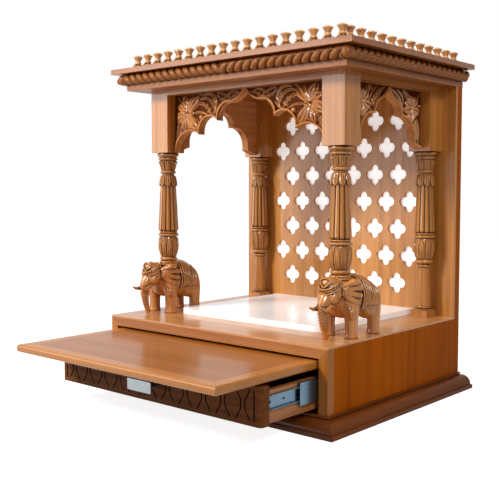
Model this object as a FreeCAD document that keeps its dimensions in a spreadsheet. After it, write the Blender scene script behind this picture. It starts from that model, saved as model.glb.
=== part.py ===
import FreeCAD, Part
import math
import os
import Sketcher
from FreeCAD import Placement, Rotation, Vector

# Household shrine in varnished teak, in millimetres.
# X runs to the right, Y to the back and Z up. The origin is on the floor, under the middle of the cabinet.
# The tray board and the drawer stand pulled out to the front, as they do in use.

doc = FreeCAD.newDocument("pooja_mandir")
sheet = doc.addObject("Spreadsheet::Sheet", "sizes")
pieces = []


class Size:
    """A length in mm, with the formula on the sheet that it comes from."""

    def __init__(self, value, formula):
        self.value = float(value)
        self.formula = formula

    def __add__(self, other):
        other = as_size(other)
        return Size(self.value + other.value, f"({self.formula} + {other.formula})")

    def __radd__(self, other):
        return as_size(other) + self

    def __sub__(self, other):
        other = as_size(other)
        return Size(self.value - other.value, f"({self.formula} - {other.formula})")

    def __rsub__(self, other):
        return as_size(other) - self

    def __mul__(self, other):
        other = as_size(other)
        return Size(self.value * other.value, f"({self.formula} * {other.formula})")

    def __rmul__(self, other):
        return as_size(other) * self

    def __truediv__(self, other):
        other = as_size(other)
        return Size(self.value / other.value, f"({self.formula} / {other.formula})")

    def __neg__(self):
        return Size(-self.value, f"(0 - {self.formula})")

    def __float__(self):
        return self.value


def as_size(number):
    if isinstance(number, Size):
        return number
    return Size(number, f"({float(number)})")


def size(alias, value):
    """Writes a driving size on the sheet and hands it back for use in formulas."""
    size.row += 1
    sheet.set(f"A{size.row}", alias.replace("_", " "))
    sheet.set(f"B{size.row}", str(value))
    sheet.setAlias(f"B{size.row}", alias)
    return Size(value, f"sizes.{alias}")


size.row = 0


def bind(thing, name, value):
    thing.setExpression(name, as_size(value).formula)


def block(label, low, high):
    """A squared piece of timber between its lowest and highest corners."""
    piece = doc.addObject("Part::Box", label)
    for side, start, end in zip(("Length", "Width", "Height"), low, high):
        bind(piece, side, end - start)
    for letter, start in zip("xyz", low):
        bind(piece, "Placement.Base." + letter, start)
    return piece


def cut(label, base, *tools):
    if len(tools) > 1:
        tool = doc.addObject("Part::MultiFuse", label + "_tools")
        tool.Shapes = list(tools)
    else:
        tool = tools[0]
    piece = doc.addObject("Part::Cut", label)
    piece.Base = base
    piece.Tool = tool
    return piece


def fuse(label, *shapes):
    piece = doc.addObject("Part::MultiFuse", label)
    piece.Shapes = list(shapes)
    return piece


def gather(label, *shapes):
    """Like pieces that don't touch, kept as one sub-part."""
    piece = doc.addObject("Part::Compound", label)
    piece.Links = list(shapes)
    return piece


def mirror(label, source):
    """The same piece on the other side of the shrine's middle."""
    piece = doc.addObject("Part::Mirroring", label)
    piece.Source = source
    piece.Base = Vector(0, 0, 0)
    piece.Normal = Vector(1, 0, 0)
    return piece


def finished(piece, name):
    piece.Label = name
    pieces.append(piece)
    return piece


def new_body(label):
    return doc.addObject("PartDesign::Body", label)


def origin_plane(body, role):
    return [plane for plane in body.Origin.OriginFeatures if plane.Role == role][0]


def arc_between(start, end, radius):
    """The short arc from start to end, bulging to the right of the way for a positive radius."""
    middle = (start + end) / 2
    way = end - start
    half = way.Length / 2
    side = Vector(way.y, -way.x, 0).normalize()
    reach = math.sqrt(max(radius * radius - half * half, 0))
    centre = middle - side * reach if radius > 0 else middle + side * reach
    circle = Part.Circle(centre, Vector(0, 0, 1), abs(radius))
    if radius > 0:
        first, last = start, end
    else:
        first, last = end, start
    arc = Part.ArcOfCircle(circle, circle.parameter(first), circle.parameter(last))
    return arc, radius > 0


def draw(sketch, corners, closed=True):
    """Lines to each corner (x, y), or an arc to it where it is (x, y, radius)."""
    points = [Vector(float(corner[0]), float(corner[1]), 0) for corner in corners]
    pairs = [(points[number - 1], number) for number in range(0 if closed else 1, len(corners))]
    ends = []
    rules = []
    for start, number in pairs:
        corner = corners[number]
        if len(corner) == 3:
            arc, forward = arc_between(start, points[number], float(corner[2]))
            edge = sketch.addGeometry(arc, False)
            ends.append((edge, 1, 2) if forward else (edge, 2, 1))
            radius = corner[2] if float(corner[2]) > 0 else -corner[2]
            rules.append((radius, "Radius", edge))
        else:
            edge = sketch.addGeometry(Part.LineSegment(start, points[number]), False)
            ends.append((edge, 1, 2))
        rules.append((corner[0], "DistanceX", -1, 1, edge, ends[-1][2]))
        rules.append((corner[1], "DistanceY", -1, 1, edge, ends[-1][2]))
    if not closed:
        rules.append((corners[0][0], "DistanceX", -1, 1, ends[0][0], ends[0][1]))
        rules.append((corners[0][1], "DistanceY", -1, 1, ends[0][0], ends[0][1]))
    numbers = sketch.addConstraint([Sketcher.Constraint(*rule[1:], float(rule[0])) for rule in rules])
    for number, rule in zip(numbers, rules):
        sketch.setExpression(f"Constraints[{number}]", as_size(rule[0]).formula)
    joints = zip(ends, ends[1:] + ends[:1] if closed else ends[1:])
    sketch.addConstraint([
        Sketcher.Constraint("Coincident", edge, last, next_edge, next_first)
        for (edge, first, last), (next_edge, next_first, next_last) in joints
    ])


def blank_sketch(body, name, role, lift=0):
    """An empty sketch on one of the body's own planes, or as far off it as given."""
    sketch = body.newObject("Sketcher::SketchObject", name)
    sketch.AttachmentSupport = [(origin_plane(body, role), "")]
    sketch.MapMode = "FlatFace"
    if lift != 0:
        bind(sketch, "AttachmentOffset.Base.z", lift)
    return sketch


def outline(body, name, role, corners, lift=0):
    sketch = blank_sketch(body, name, role, lift)
    draw(sketch, corners)
    return sketch


def pad(body, name, sketch, length, both_ways=False):
    feature = body.newObject("PartDesign::Pad", name)
    feature.Profile = sketch
    bind(feature, "Length", length)
    feature.Midplane = both_ways
    body.Tip = feature
    return feature


def pocket(body, name, sketch, depth=None):
    """Cuts the outline right through the piece, or as deep as given into the face that it lies on."""
    feature = body.newObject("PartDesign::Pocket", name)
    feature.Profile = sketch
    feature.Midplane = True
    if depth is None:
        feature.Type = "ThroughAll"
    else:
        bind(feature, "Length", depth * 2)
    body.Tip = feature
    return feature


def turned(body, name, sketch):
    feature = body.newObject("PartDesign::Revolution", name)
    feature.Profile = sketch
    feature.ReferenceAxis = (sketch, ["V_Axis"])
    feature.Angle = 360
    body.Tip = feature
    return feature


def place(piece, x=0, y=0, z=0):
    for letter, value in zip("xyz", (x, y, z)):
        bind(piece, "Placement.Base." + letter, value)


# Cabinet: a drawer box on a moulded plinth, with the platform of the shrine as its top.
cabinet_width = size("cabinet_width", 610)
cabinet_depth = size("cabinet_depth", 504)
cabinet_height = size("cabinet_height", 127)
plinth_height = size("plinth_height", 32)
plinth_reach = size("plinth_reach", 36)
plinth_seat = size("plinth_seat", 24)
plinth_lip = size("plinth_lip", 8)
plinth_lip_step = size("plinth_lip_step", 5)
plinth_curve = size("plinth_curve", 19)
plinth_shoulder = size("plinth_shoulder", 6)
plinth_groove = size("plinth_groove", 1.5)
plinth_groove_depth = size("plinth_groove_depth", 3)
plinth_bead = size("plinth_bead", 3.5)
panel_thickness = size("panel_thickness", 18)
floor_thickness = size("floor_thickness", 12)
platform_thickness = size("platform_thickness", 16)
platform_lip = size("platform_lip", 4)
stile_thickness = size("stile_thickness", 20)
back_thickness = size("back_thickness", 20)
jali_thickness = size("jali_thickness", 8)
clearance = size("clearance", 5)

side_x = cabinet_width / 2
front_y = -cabinet_depth / 2
back_y = cabinet_depth / 2
board_y = back_y - back_thickness
jali_y = board_y - jali_thickness
platform_z = plinth_height + cabinet_height
lip_z = platform_z - platform_lip
underside_z = platform_z - platform_thickness
panel_x = side_x - panel_thickness

# Drawer and tray share the opening between the front stiles.
tray_width = size("tray_width", 559)
tray_depth = size("tray_depth", 450)
tray_thickness = size("tray_thickness", 16)
tray_nose = size("tray_nose", 5)
tray_out = size("tray_out", 268)
drawer_lift = size("drawer_lift", 7)
drawer_height = size("drawer_height", 71)
drawer_thickness = size("drawer_thickness", 22)
drawer_round = size("drawer_round", 8)
drawer_out = size("drawer_out", 156)

opening_x = tray_width / 2 + clearance
stile_width = side_x - opening_x
drawer_z = plinth_height + drawer_lift
tray_z = drawer_z + drawer_height + clearance
rail_z = tray_z + tray_thickness + clearance


def plinth_profile(face, outward):
    """The moulding's section: flat lip, quarter round, groove and bead, outward from the cabinet's face."""
    lip_x = face + outward * plinth_reach
    curve_x = lip_x - outward * plinth_lip_step
    bead_x = face + outward * plinth_shoulder
    groove_x = bead_x - outward * plinth_groove_depth
    bead_z = plinth_height - plinth_bead
    groove_z = bead_z - plinth_groove
    inner_x = face - outward * plinth_seat
    corners = [
        (inner_x, as_size(0)),
        (lip_x, as_size(0)),
        (lip_x, plinth_lip),
        (curve_x, plinth_lip),
        (curve_x - outward * (groove_z - plinth_lip), groove_z, outward * plinth_curve),
        (groove_x, groove_z),
        (groove_x, bead_z),
        (bead_x, bead_z),
        (bead_x, plinth_height),
        (inner_x, plinth_height),
    ]
    return corners


def make_plinth():
    outer_x = side_x + plinth_reach
    inner_x = side_x - plinth_seat
    outer_y = front_y - plinth_reach
    inner_y = front_y + plinth_seat

    front = new_body("plinth_front")
    section = outline(front, "plinth_front_section", "YZ_Plane", plinth_profile(front_y, -1))
    pad(front, "plinth_front_bar", section, outer_x * 2, True)
    for side in (1, -1):
        waste = [(side * inner_x, inner_y), (side * outer_x, outer_y), (side * outer_x, inner_y)]
        mitre = outline(front, f"plinth_front_mitre_{'right' if side > 0 else 'left'}", "XY_Plane", waste)
        pocket(front, f"plinth_front_cut_{'right' if side > 0 else 'left'}", mitre)
    finished(front, "plinth_front")

    length = back_y - outer_y
    middle = (back_y + outer_y) / 2
    right = new_body("plinth_right")
    section = outline(right, "plinth_right_section", "XZ_Plane", plinth_profile(side_x, 1))
    pad(right, "plinth_right_bar", section, length, True)
    waste = [(inner_x, inner_y - middle), (inner_x, outer_y - middle), (outer_x, outer_y - middle)]
    mitre = outline(right, "plinth_right_mitre", "XY_Plane", waste)
    pocket(right, "plinth_right_cut", mitre)
    place(right, y=middle)
    finished(right, "plinth_right")
    finished(mirror("plinth_left", right), "plinth_left")

    rail_y = back_y - plinth_seat
    rail = block("plinth_back", (-inner_x, rail_y, as_size(0)), (inner_x, back_y, plinth_height))
    finished(rail, "plinth_back")
    floor = block("cabinet_floor", (-inner_x, inner_y, as_size(0)), (inner_x, rail_y, floor_thickness))
    finished(floor, "cabinet_floor")


def make_cabinet():
    stile_y = front_y + stile_thickness
    right = block("side_panel_right", (panel_x, stile_y, plinth_height), (side_x, board_y, lip_z))
    finished(right, "side_panel_right")
    finished(mirror("side_panel_left", right), "side_panel_left")

    stile = new_body("front_stile_right")
    face = [
        (opening_x, plinth_height),
        (side_x, plinth_height),
        (side_x, lip_z),
        (opening_x, rail_z),
    ]
    sketch = outline(stile, "front_stile_face", "XZ_Plane", face)
    pad(stile, "front_stile_bar", sketch, stile_thickness, True)
    place(stile, y=front_y + stile_thickness / 2)
    finished(stile, "front_stile_right")
    finished(mirror("front_stile_left", stile), "front_stile_left")

    rail = new_body("front_top_rail")
    face = [(-opening_x, rail_z), (opening_x, rail_z), (side_x, lip_z), (-side_x, lip_z)]
    sketch = outline(rail, "front_top_rail_face", "XZ_Plane", face)
    pad(rail, "front_top_rail_bar", sketch, stile_thickness, True)
    place(rail, y=front_y + stile_thickness / 2)
    finished(rail, "front_top_rail")

    inner = block("platform_board", (-panel_x, stile_y, underside_z), (panel_x, board_y, lip_z))
    lip = block("platform_veneer", (-side_x, front_y, lip_z), (side_x, board_y, platform_z))
    finished(fuse("platform_top", inner, lip), "platform_top")


# The tray board slides in grooved battens screwed to the cabinet's sides.
runner_thickness = size("runner_thickness", 18)
runner_drop = size("runner_drop", 11)
runner_fit = size("runner_fit", 0.3)
runner_back_gap = size("runner_back_gap", 12)


def make_tray():
    batten_x = panel_x - runner_thickness
    groove_x = tray_width / 2 + runner_fit
    batten = new_body("tray_runner_right")
    section = [
        (batten_x, tray_z - runner_drop),
        (panel_x, tray_z - runner_drop),
        (panel_x, underside_z),
        (batten_x, underside_z),
        (batten_x, tray_z + tray_thickness + runner_fit),
        (groove_x, tray_z + tray_thickness + runner_fit),
        (groove_x, tray_z - runner_fit),
        (batten_x, tray_z - runner_fit),
    ]
    start_y = front_y + drawer_thickness + clearance
    end_y = board_y - runner_back_gap
    sketch = outline(batten, "tray_runner_section", "XZ_Plane", section)
    pad(batten, "tray_runner_bar", sketch, end_y - start_y, True)
    place(batten, y=(start_y + end_y) / 2)
    finished(batten, "tray_runner_right")
    finished(mirror("tray_runner_left", batten), "tray_runner_left")

    board = new_body("tray_board")
    edge_x = tray_width / 2
    edge_y = front_y - tray_out
    rear_y = edge_y + tray_depth
    face = [(-edge_x, edge_y), (edge_x, edge_y), (edge_x, rear_y), (-edge_x, rear_y)]
    sketch = outline(board, "tray_board_face", "XY_Plane", face, tray_z)
    slab = pad(board, "tray_board_slab", sketch, tray_thickness)
    doc.recompute()
    rounded = []
    slack = 0.01
    for number, edge in enumerate(slab.Shape.Edges, 1):
        box = edge.BoundBox
        level = box.ZLength < slack
        rear = box.YMin > float(rear_y) - slack
        if level and not rear:
            rounded.append(f"Edge{number}")
    nose = board.newObject("PartDesign::Fillet", "tray_board_nose")
    nose.Base = (slab, rounded)
    bind(nose, "Radius", tray_nose)
    board.Tip = nose
    finished(board, "tray_board")


# The drawer: a carved front, grooved sides that hold the bottom, a back, and a steel pull.
drawer_side_thickness = size("drawer_side_thickness", 12)
drawer_side_drop = size("drawer_side_drop", 2)
drawer_side_height = size("drawer_side_height", 58)
drawer_depth = size("drawer_depth", 356)
drawer_bottom_thickness = size("drawer_bottom_thickness", 6)
drawer_bottom_lift = size("drawer_bottom_lift", 4)
drawer_groove = size("drawer_groove", 4)
slide_gap = size("slide_gap", 12.7)
pull_width = size("pull_width", 66)
pull_height = size("pull_height", 22)
pull_thickness = size("pull_thickness", 3)
pull_standoff = size("pull_standoff", 27)
pull_post = size("pull_post", 4)
pull_post_spacing = size("pull_post_spacing", 46)
pull_round = size("pull_round", 2)
tile_pitch = size("tile_pitch", 47.5)
tile_gap = size("tile_gap", 10)
tile_groove = size("tile_groove", 3)
tile_groove_depth = size("tile_groove_depth", 2.5)
tile_margin = size("tile_margin", 8)
tile_shoulder = size("tile_shoulder", 19)
tile_slant = size("tile_slant", 12)
border_groove_set = size("border_groove_set", 17.5)
tile_joints = 11


def carve_tiles(front, half, face_y):
    """Six-sided tiles in a row, each parted from the next by two grooves that spread at their ends."""
    low_z = drawer_z + tile_margin
    high_z = drawer_z + drawer_height - tile_margin
    first_x = -tile_pitch * (tile_joints - 1) / 2
    joint = blank_sketch(front, "drawer_front_joint", "XZ_Plane", -face_y)
    for side in (1, -1):
        straight = first_x + side * tile_gap / 2
        spread = straight + side * tile_slant
        groove = [
            (spread, low_z),
            (straight, low_z + tile_shoulder),
            (straight, high_z - tile_shoulder),
            (spread, high_z),
        ]
        right_edge = [(x + tile_groove / 2, z) for x, z in groove]
        left_edge = [(x - tile_groove / 2, z) for x, z in reversed(groove)]
        draw(joint, right_edge + left_edge)
    first = pocket(front, "drawer_front_first_joint", joint, tile_groove_depth)
    row = front.newObject("PartDesign::LinearPattern", "drawer_front_joints")
    row.Originals = [first]
    row.Direction = (joint, ["H_Axis"])
    row.Occurrences = tile_joints
    bind(row, "Length", tile_pitch * (tile_joints - 1))
    front.Tip = row
    border = blank_sketch(front, "drawer_front_border", "XZ_Plane", -face_y)
    for side in (1, -1):
        inner = side * (half - border_groove_set)
        outer = inner + side * tile_groove
        draw(border, [(inner, low_z), (outer, low_z), (outer, high_z), (inner, high_z)])
    pocket(front, "drawer_front_ends", border, tile_groove_depth)


def make_drawer():
    face_y = front_y - drawer_out
    board_back = face_y + drawer_thickness
    half = tray_width / 2
    top_z = drawer_z + drawer_height

    front = new_body("drawer_front")
    face = [
        (-half, face_y + drawer_round),
        (-half + drawer_round, face_y, drawer_round),
        (half - drawer_round, face_y),
        (half, face_y + drawer_round, drawer_round),
        (half, board_back),
        (-half, board_back),
    ]
    sketch = outline(front, "drawer_front_plan", "XY_Plane", face, drawer_z)
    pad(front, "drawer_front_board", sketch, drawer_height)
    carve_tiles(front, half, face_y)
    finished(front, "drawer_front")

    outer_x = panel_x - slide_gap
    inner_x = outer_x - drawer_side_thickness
    side_z = drawer_z + drawer_side_drop
    side_top = side_z + drawer_side_height
    rear_y = board_back + drawer_depth
    bottom_z = side_z + drawer_bottom_lift
    bottom_top = bottom_z + drawer_bottom_thickness
    tongue_x = inner_x + drawer_groove
    side = block("drawer_side_blank", (inner_x, board_back, side_z), (outer_x, rear_y, side_top))
    groove = block("drawer_side_groove", (inner_x, board_back, bottom_z), (tongue_x, rear_y, bottom_top))
    right = cut("drawer_side_right", side, groove)
    finished(right, "drawer_side_right")
    finished(mirror("drawer_side_left", right), "drawer_side_left")
    bottom = block("drawer_bottom", (-tongue_x, board_back, bottom_z), (tongue_x, rear_y, bottom_top))
    finished(bottom, "drawer_bottom")
    back_start = rear_y - drawer_side_thickness
    back = block("drawer_back", (-inner_x, back_start, bottom_top), (inner_x, rear_y, side_top))
    finished(back, "drawer_back")

    pull = new_body("drawer_pull_face_plate")
    middle_z = drawer_z + drawer_height / 2
    low_z = middle_z - pull_height / 2
    high_z = middle_z + pull_height / 2
    plate_x = pull_width / 2
    plate = [
        (-plate_x + pull_round, low_z),
        (plate_x - pull_round, low_z),
        (plate_x, low_z + pull_round, pull_round),
        (plate_x, high_z - pull_round),
        (plate_x - pull_round, high_z, pull_round),
        (-plate_x + pull_round, high_z),
        (-plate_x, high_z - pull_round, pull_round),
        (-plate_x, low_z + pull_round),
    ]
    plate[0] = plate[0] + (pull_round,)
    sketch = outline(pull, "drawer_pull_face", "XZ_Plane", plate)
    pad(pull, "drawer_pull_plate", sketch, pull_thickness, True)
    plate_y = face_y - pull_standoff - pull_thickness / 2
    place(pull, y=plate_y)
    posts = []
    for side in (1, -1):
        post = doc.addObject("Part::Cylinder", "pull_post_" + ("right" if side > 0 else "left"))
        bind(post, "Radius", pull_post)
        bind(post, "Height", pull_standoff)
        post.Placement = Placement(Vector(0, 0, 0), Rotation(Vector(1, 0, 0), 90))
        place(post, side * pull_post_spacing / 2, face_y, middle_z)
        posts.append(post)
    finished(fuse("drawer_pull", pull, *posts), "drawer_pull")


# Ball bearing slides: an outer channel on the cabinet, a middle member with the ball races, an inner channel.
slide_length = size("slide_length", 350)
slide_outer_height = size("slide_outer_height", 45)
slide_inner_height = size("slide_inner_height", 26)
slide_steel = size("slide_steel", 1.2)
slide_play = size("slide_play", 0.4)
slide_flange = size("slide_flange", 10.5)
slide_middle_depth = size("slide_middle_depth", 5.4)
slide_middle_set = size("slide_middle_set", 5)
slide_inner_flange = size("slide_inner_flange", 6)
slide_start = size("slide_start", 7)
slide_rise = size("slide_rise", 40)


def slide_pair(name, section, start_y):
    """The same channel on both sides of the drawer, kept as one sub-part."""
    bar = new_body(name + "_right")
    sketch = outline(bar, name + "_section", "XZ_Plane", section)
    pad(bar, name + "_bar", sketch, slide_length, True)
    place(bar, y=start_y + slide_length / 2, z=drawer_z + slide_rise)
    pair = gather(name, bar, mirror(name + "_left", bar))
    finished(pair, name)


def make_slides():
    start_y = front_y + stile_thickness + slide_start
    half = slide_outer_height / 2
    web_x = panel_x - slide_steel
    lip_x = panel_x - slide_flange
    inside = half - slide_steel
    outer = [
        (panel_x, -half),
        (panel_x, half),
        (lip_x, half),
        (lip_x, inside),
        (web_x, inside),
        (web_x, -inside),
        (lip_x, -inside),
        (lip_x, -half),
    ]
    slide_pair("slide_outer", outer, start_y)

    race = inside - slide_play
    inner_half = slide_inner_height / 2
    race_in = inner_half + slide_play
    back_x = panel_x - slide_middle_set
    race_x = back_x - slide_middle_depth
    middle_web = back_x - slide_steel
    middle = [
        (back_x, -race),
        (back_x, race),
        (race_x, race),
        (race_x, race_in),
        (middle_web, race_in),
        (middle_web, -race_in),
        (race_x, -race_in),
        (race_x, -race),
    ]
    slide_pair("slide_middle", middle, start_y - drawer_out / 2)

    side_face = panel_x - slide_gap
    flange_x = side_face + slide_inner_flange
    inner_web = side_face + slide_steel
    groove = inner_half - slide_steel
    inner = [
        (side_face, -inner_half),
        (flange_x, -inner_half),
        (flange_x, -groove),
        (inner_web, -groove),
        (inner_web, groove),
        (flange_x, groove),
        (flange_x, inner_half),
        (side_face, inner_half),
    ]
    slide_pair("slide_inner", inner, start_y - drawer_out)


# The white slab on the platform, and the back: a board, a pierced lattice and the white sheet between them.
chamber_height = size("chamber_height", 513)
slab_width = size("slab_width", 414)
slab_depth = size("slab_depth", 359)
slab_thickness = size("slab_thickness", 12)
slab_round = size("slab_round", 28)
sheet_thickness = size("sheet_thickness", 3)
sheet_margin = size("sheet_margin", 14)
foil_radius = size("foil_radius", 11)
foil_overrun = size("foil_overrun", 1)
foil_offset = size("foil_offset", 13)
foil_pitch_x = size("foil_pitch_x", 62.7)
foil_pitch_z = size("foil_pitch_z", 63.6)
foil_first_z = size("foil_first_z", 67.5)
foil_rows = 7
foils_in_long_row = 7
canopy_z = platform_z + chamber_height


def foil_centres():
    """The middles of the quatrefoils: rows of six and of seven by turns, the rows of six lowest and highest."""
    centres = []
    for row in range(foil_rows):
        count = foils_in_long_row - 1 if row % 2 == 0 else foils_in_long_row
        z = platform_z + foil_first_z + foil_pitch_z * row
        for column in range(count):
            centres.append((foil_pitch_x * (column - (count - 1) / 2), z))
    return centres


def make_back():
    slab = new_body("marble_slab")
    half = slab_width / 2
    slab_y = jali_y - slab_depth
    plan = [
        (-half, slab_y + slab_round),
        (-half + slab_round, slab_y, slab_round),
        (half - slab_round, slab_y),
        (half, slab_y + slab_round, slab_round),
        (half, jali_y),
        (-half, jali_y),
    ]
    sketch = outline(slab, "marble_slab_plan", "XY_Plane", plan, platform_z)
    pad(slab, "marble_slab_block", sketch, slab_thickness)
    finished(slab, "marble_slab")

    centres = foil_centres()
    reach = foil_offset + foil_radius + sheet_margin
    sheet_x = foil_pitch_x * ((foils_in_long_row - 1) / 2) + reach
    sheet_low = centres[0][1] - reach
    sheet_high = centres[-1][1] + reach
    board = block("back_board_blank", (-side_x, board_y, plinth_height), (side_x, back_y, canopy_z))
    sheet_back = board_y + sheet_thickness
    rebate = block("back_board_rebate", (-sheet_x, board_y, sheet_low), (sheet_x, sheet_back, sheet_high))
    finished(cut("back_board", board, rebate), "back_board")
    white = block("white_sheet", (-sheet_x, board_y, sheet_low), (sheet_x, sheet_back, sheet_high))
    finished(white, "white_sheet")

    panel = block("jali_blank", (-side_x, jali_y, platform_z), (side_x, board_y, canopy_z))
    holes = doc.addObject("Part::Feature", "jali_holes")
    prisms = []
    for x, z in centres:
        foils = []
        for step_x, step_z in ((1, 0), (-1, 0), (0, 1), (0, -1)):
            middle = Vector(
                float(x) + step_x * float(foil_offset),
                float(jali_y - foil_overrun),
                float(z) + step_z * float(foil_offset),
            )
            foils.append(Part.Face(Part.Wire(Part.makeCircle(float(foil_radius), middle, Vector(0, 1, 0)))))
        core = float(foil_offset)
        corner = Vector(float(x) - core / 2, float(jali_y - foil_overrun), float(z) - core / 2)
        square = Part.makePolygon([
            corner,
            corner + Vector(core, 0, 0),
            corner + Vector(core, 0, core),
            corner + Vector(0, 0, core),
            corner,
        ])
        foils.append(Part.Face(square))
        face = foils[0].fuse(foils[1:]).removeSplitter()
        prisms.append(face.extrude(Vector(0, float(jali_thickness + foil_overrun * 2), 0)))
    holes.Shape = Part.makeCompound(prisms)
    finished(cut("jali_panel", panel, holes), "jali_panel")


# Pillars: a square block at the head, then turned members down to the elephant's saddle or the platform.
post_side = size("post_side", 53)
post_height = size("post_height", 141.5)
pillar_x = size("pillar_x", 245)
pillar_front_set = size("pillar_front_set", 122.5)
turned_members = {}
for name, height, upper, lower in (
    ("capital_ring", 6, 24.3, 24.3),
    ("capital_groove", 2.5, 21, 21),
    ("capital_bead", 4, 22.8, 22.8),
    ("bell", 12, 21, 16.6),
    ("bell_waist", 8.5, 16.6, 15.3),
    ("neck_ring", 5.5, 17.6, 17.6),
    ("neck_groove", 2, 16, 16),
    ("bulb", 34, 18, 17.4),
    ("neck", 4.5, 15.5, 15.5),
    ("shaft", 102, 15.5, 18.3),
    ("collar", 7, 19.8, 19.8),
    ("vase_ring", 5, 22.4, 22.4),
    ("vase_groove", 2, 20.6, 20.6),
    ("vase", 46, 22.2, 17.2),
    ("foot_ring", 10.5, 17.6, 17.6),
    ("lower_ring", 9, 15, 15),
    ("lower_shaft", 86, 13.7, 16.6),
    ("lower_bead", 6, 17, 17),
    ("flare", 3, 19, 19),
):
    turned_members[name] = (
        size(name + "_height", height),
        size(name + "_upper", upper),
        size(name + "_lower", lower),
    )
swells = {"bulb": size("bulb_curve", 60), "vase": size("vase_curve", 92)}
rounded_rings = ("capital_ring", "capital_bead", "neck_ring", "vase_ring", "foot_ring", "lower_ring", "lower_bead")
ring_rounding = size("ring_rounding", 1.6)
reeds = 12
reed_sides = 4
reed_height = size("reed_height", 3)
reed_top_groove = size("reed_top_groove", 15.2)
reed_foot_groove = size("reed_foot_groove", 19.2)
reed_tip_groove = size("reed_tip_groove", 16.8)
reed_tip_height = size("reed_tip_height", 4)
post_base_side = size("post_base_side", 40)
front_members = (
    "capital_ring",
    "capital_groove",
    "capital_bead",
    "bell",
    "bell_waist",
    "neck_ring",
    "neck_groove",
    "bulb",
    "neck",
    "shaft",
    "collar",
    "vase_ring",
    "vase_groove",
    "vase",
    "foot_ring",
)
back_members = front_members + ("lower_ring", "lower_shaft", "lower_bead", "flare")
post_z = canopy_z - post_height
front_pillar_y = front_y + pillar_front_set
back_pillar_y = jali_y - post_side / 2


def turning(members):
    """The half outline of the turned members, from the block downwards."""
    height = post_z
    corners = [(as_size(0), height)]
    for member in members:
        tall, upper, lower = turned_members[member]
        if member in rounded_rings:
            corners.append((upper - ring_rounding, height))
            corners.append((upper, height - ring_rounding))
            height = height - tall
            corners.append((lower, height + ring_rounding))
            corners.append((lower - ring_rounding, height))
            continue
        corners.append((upper, height))
        height = height - tall
        if member in swells:
            corners.append((lower, height, -swells[member]))
        else:
            corners.append((lower, height))
    corners.append((as_size(0), height))
    kept = [corners[0]]
    for corner in corners[1:]:
        step = abs(float(corner[0]) - float(kept[-1][0])) + abs(float(corner[1]) - float(kept[-1][1]))
        if step > 0.001:
            kept.append(corner)
    return kept, height


def reeded_section(pillar, name, groove, z):
    """A ring of reeds, cut across: each rises from one groove to its crown and falls to the next groove."""
    corners = []
    for step in range(reeds * reed_sides):
        angle = 2 * math.pi * step / (reeds * reed_sides)
        radius = groove + reed_height * math.sin(math.pi * (step % reed_sides) / reed_sides)
        corners.append((radius * math.cos(angle), radius * math.sin(angle)))
    return outline(pillar, name, "XY_Plane", corners, z)


def carve_reeds(pillar, name):
    """Twelve reeds side by side on the shaft, swelling to its foot and drawn in to round tips there."""
    top = post_z
    for member in front_members[: front_members.index("shaft")]:
        top = top - turned_members[member][0]
    foot = top - turned_members["shaft"][0]
    tips = reeded_section(pillar, name + "_reed_tips", reed_tip_groove, foot)
    fullest = reeded_section(pillar, name + "_reed_feet", reed_foot_groove, foot + reed_tip_height)
    heads = reeded_section(pillar, name + "_reed_heads", reed_top_groove, top)
    shaft = pillar.newObject("PartDesign::AdditiveLoft", name + "_reeds")
    shaft.Profile = tips
    shaft.Sections = [fullest, heads]
    shaft.Ruled = True
    pillar.Tip = shaft


def make_pillar(name, members, y):
    pillar = new_body(name)
    corners, foot_z = turning(members)
    sketch = outline(pillar, name + "_outline", "XZ_Plane", corners)
    turned(pillar, name + "_turning", sketch)
    carve_reeds(pillar, name)
    half = post_side / 2
    square = [(-half, -half), (half, -half), (half, half), (-half, half)]
    sketch = outline(pillar, name + "_block_plan", "XY_Plane", square, post_z)
    pad(pillar, name + "_block", sketch, post_height)
    if "flare" in members:
        half = post_base_side / 2
        square = [(-half, -half), (half, -half), (half, half), (-half, half)]
        sketch = outline(pillar, name + "_base_plan", "XY_Plane", square, platform_z)
        pad(pillar, name + "_base", sketch, foot_z - platform_z)
    place(pillar, pillar_x, y)
    return pillar, foot_z


def make_pillars():
    front, saddle_z = make_pillar("pillar_front_right", front_members, front_pillar_y)
    finished(front, "pillar_front_right")
    finished(mirror("pillar_front_left", front), "pillar_front_left")
    back, base_z = make_pillar("pillar_back_right", back_members, back_pillar_y)
    finished(back, "pillar_back_right")
    finished(mirror("pillar_back_left", back), "pillar_back_left")
    return saddle_z


# Elephants: carved from one block each, they carry the front pillars on their saddles.
elephant_shift = size("elephant_shift", 8.5)
elephant_half_width = size("elephant_half_width", 38)
elephant_half_length = size("elephant_half_length", 56)
elephant_back_set = size("elephant_back_set", 25)
belly_height = size("belly_height", 36)
leg_radius = size("leg_radius", 13)
leg_flare = size("leg_flare", 1)
leg_spread = size("leg_spread", 27)
fore_leg_set = size("fore_leg_set", 12)
hind_leg_set = size("hind_leg_set", 64)
thigh_half_width = size("thigh_half_width", 16)
thigh_half_length = size("thigh_half_length", 18)
thigh_half_height = size("thigh_half_height", 27)
thigh_height = size("thigh_height", 60)
head_set = size("head_set", 40)
head_radius = size("head_radius", 24)
head_height = size("head_height", 92)
head_half_height = size("head_half_height", 27)
saddle_radius = size("saddle_radius", 22)
saddle_height = size("saddle_height", 18)
ear_half_thickness = size("ear_half_thickness", 6)
ear_half_length = size("ear_half_length", 17)
ear_half_height = size("ear_half_height", 24)
ear_height = size("ear_height", 84)
ear_set = size("ear_set", 16)
tusk_length = size("tusk_length", 36)
tusk_radius = size("tusk_radius", 5)
tusk_tip = size("tusk_tip", 2.5)
tusk_height = size("tusk_height", 62)
tusk_spread = size("tusk_spread", 13)
tusk_set = size("tusk_set", 52)
cheek_half_width = size("cheek_half_width", 12)
cheek_half_height = size("cheek_half_height", 15)
cheek_spread = size("cheek_spread", 11)
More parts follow.
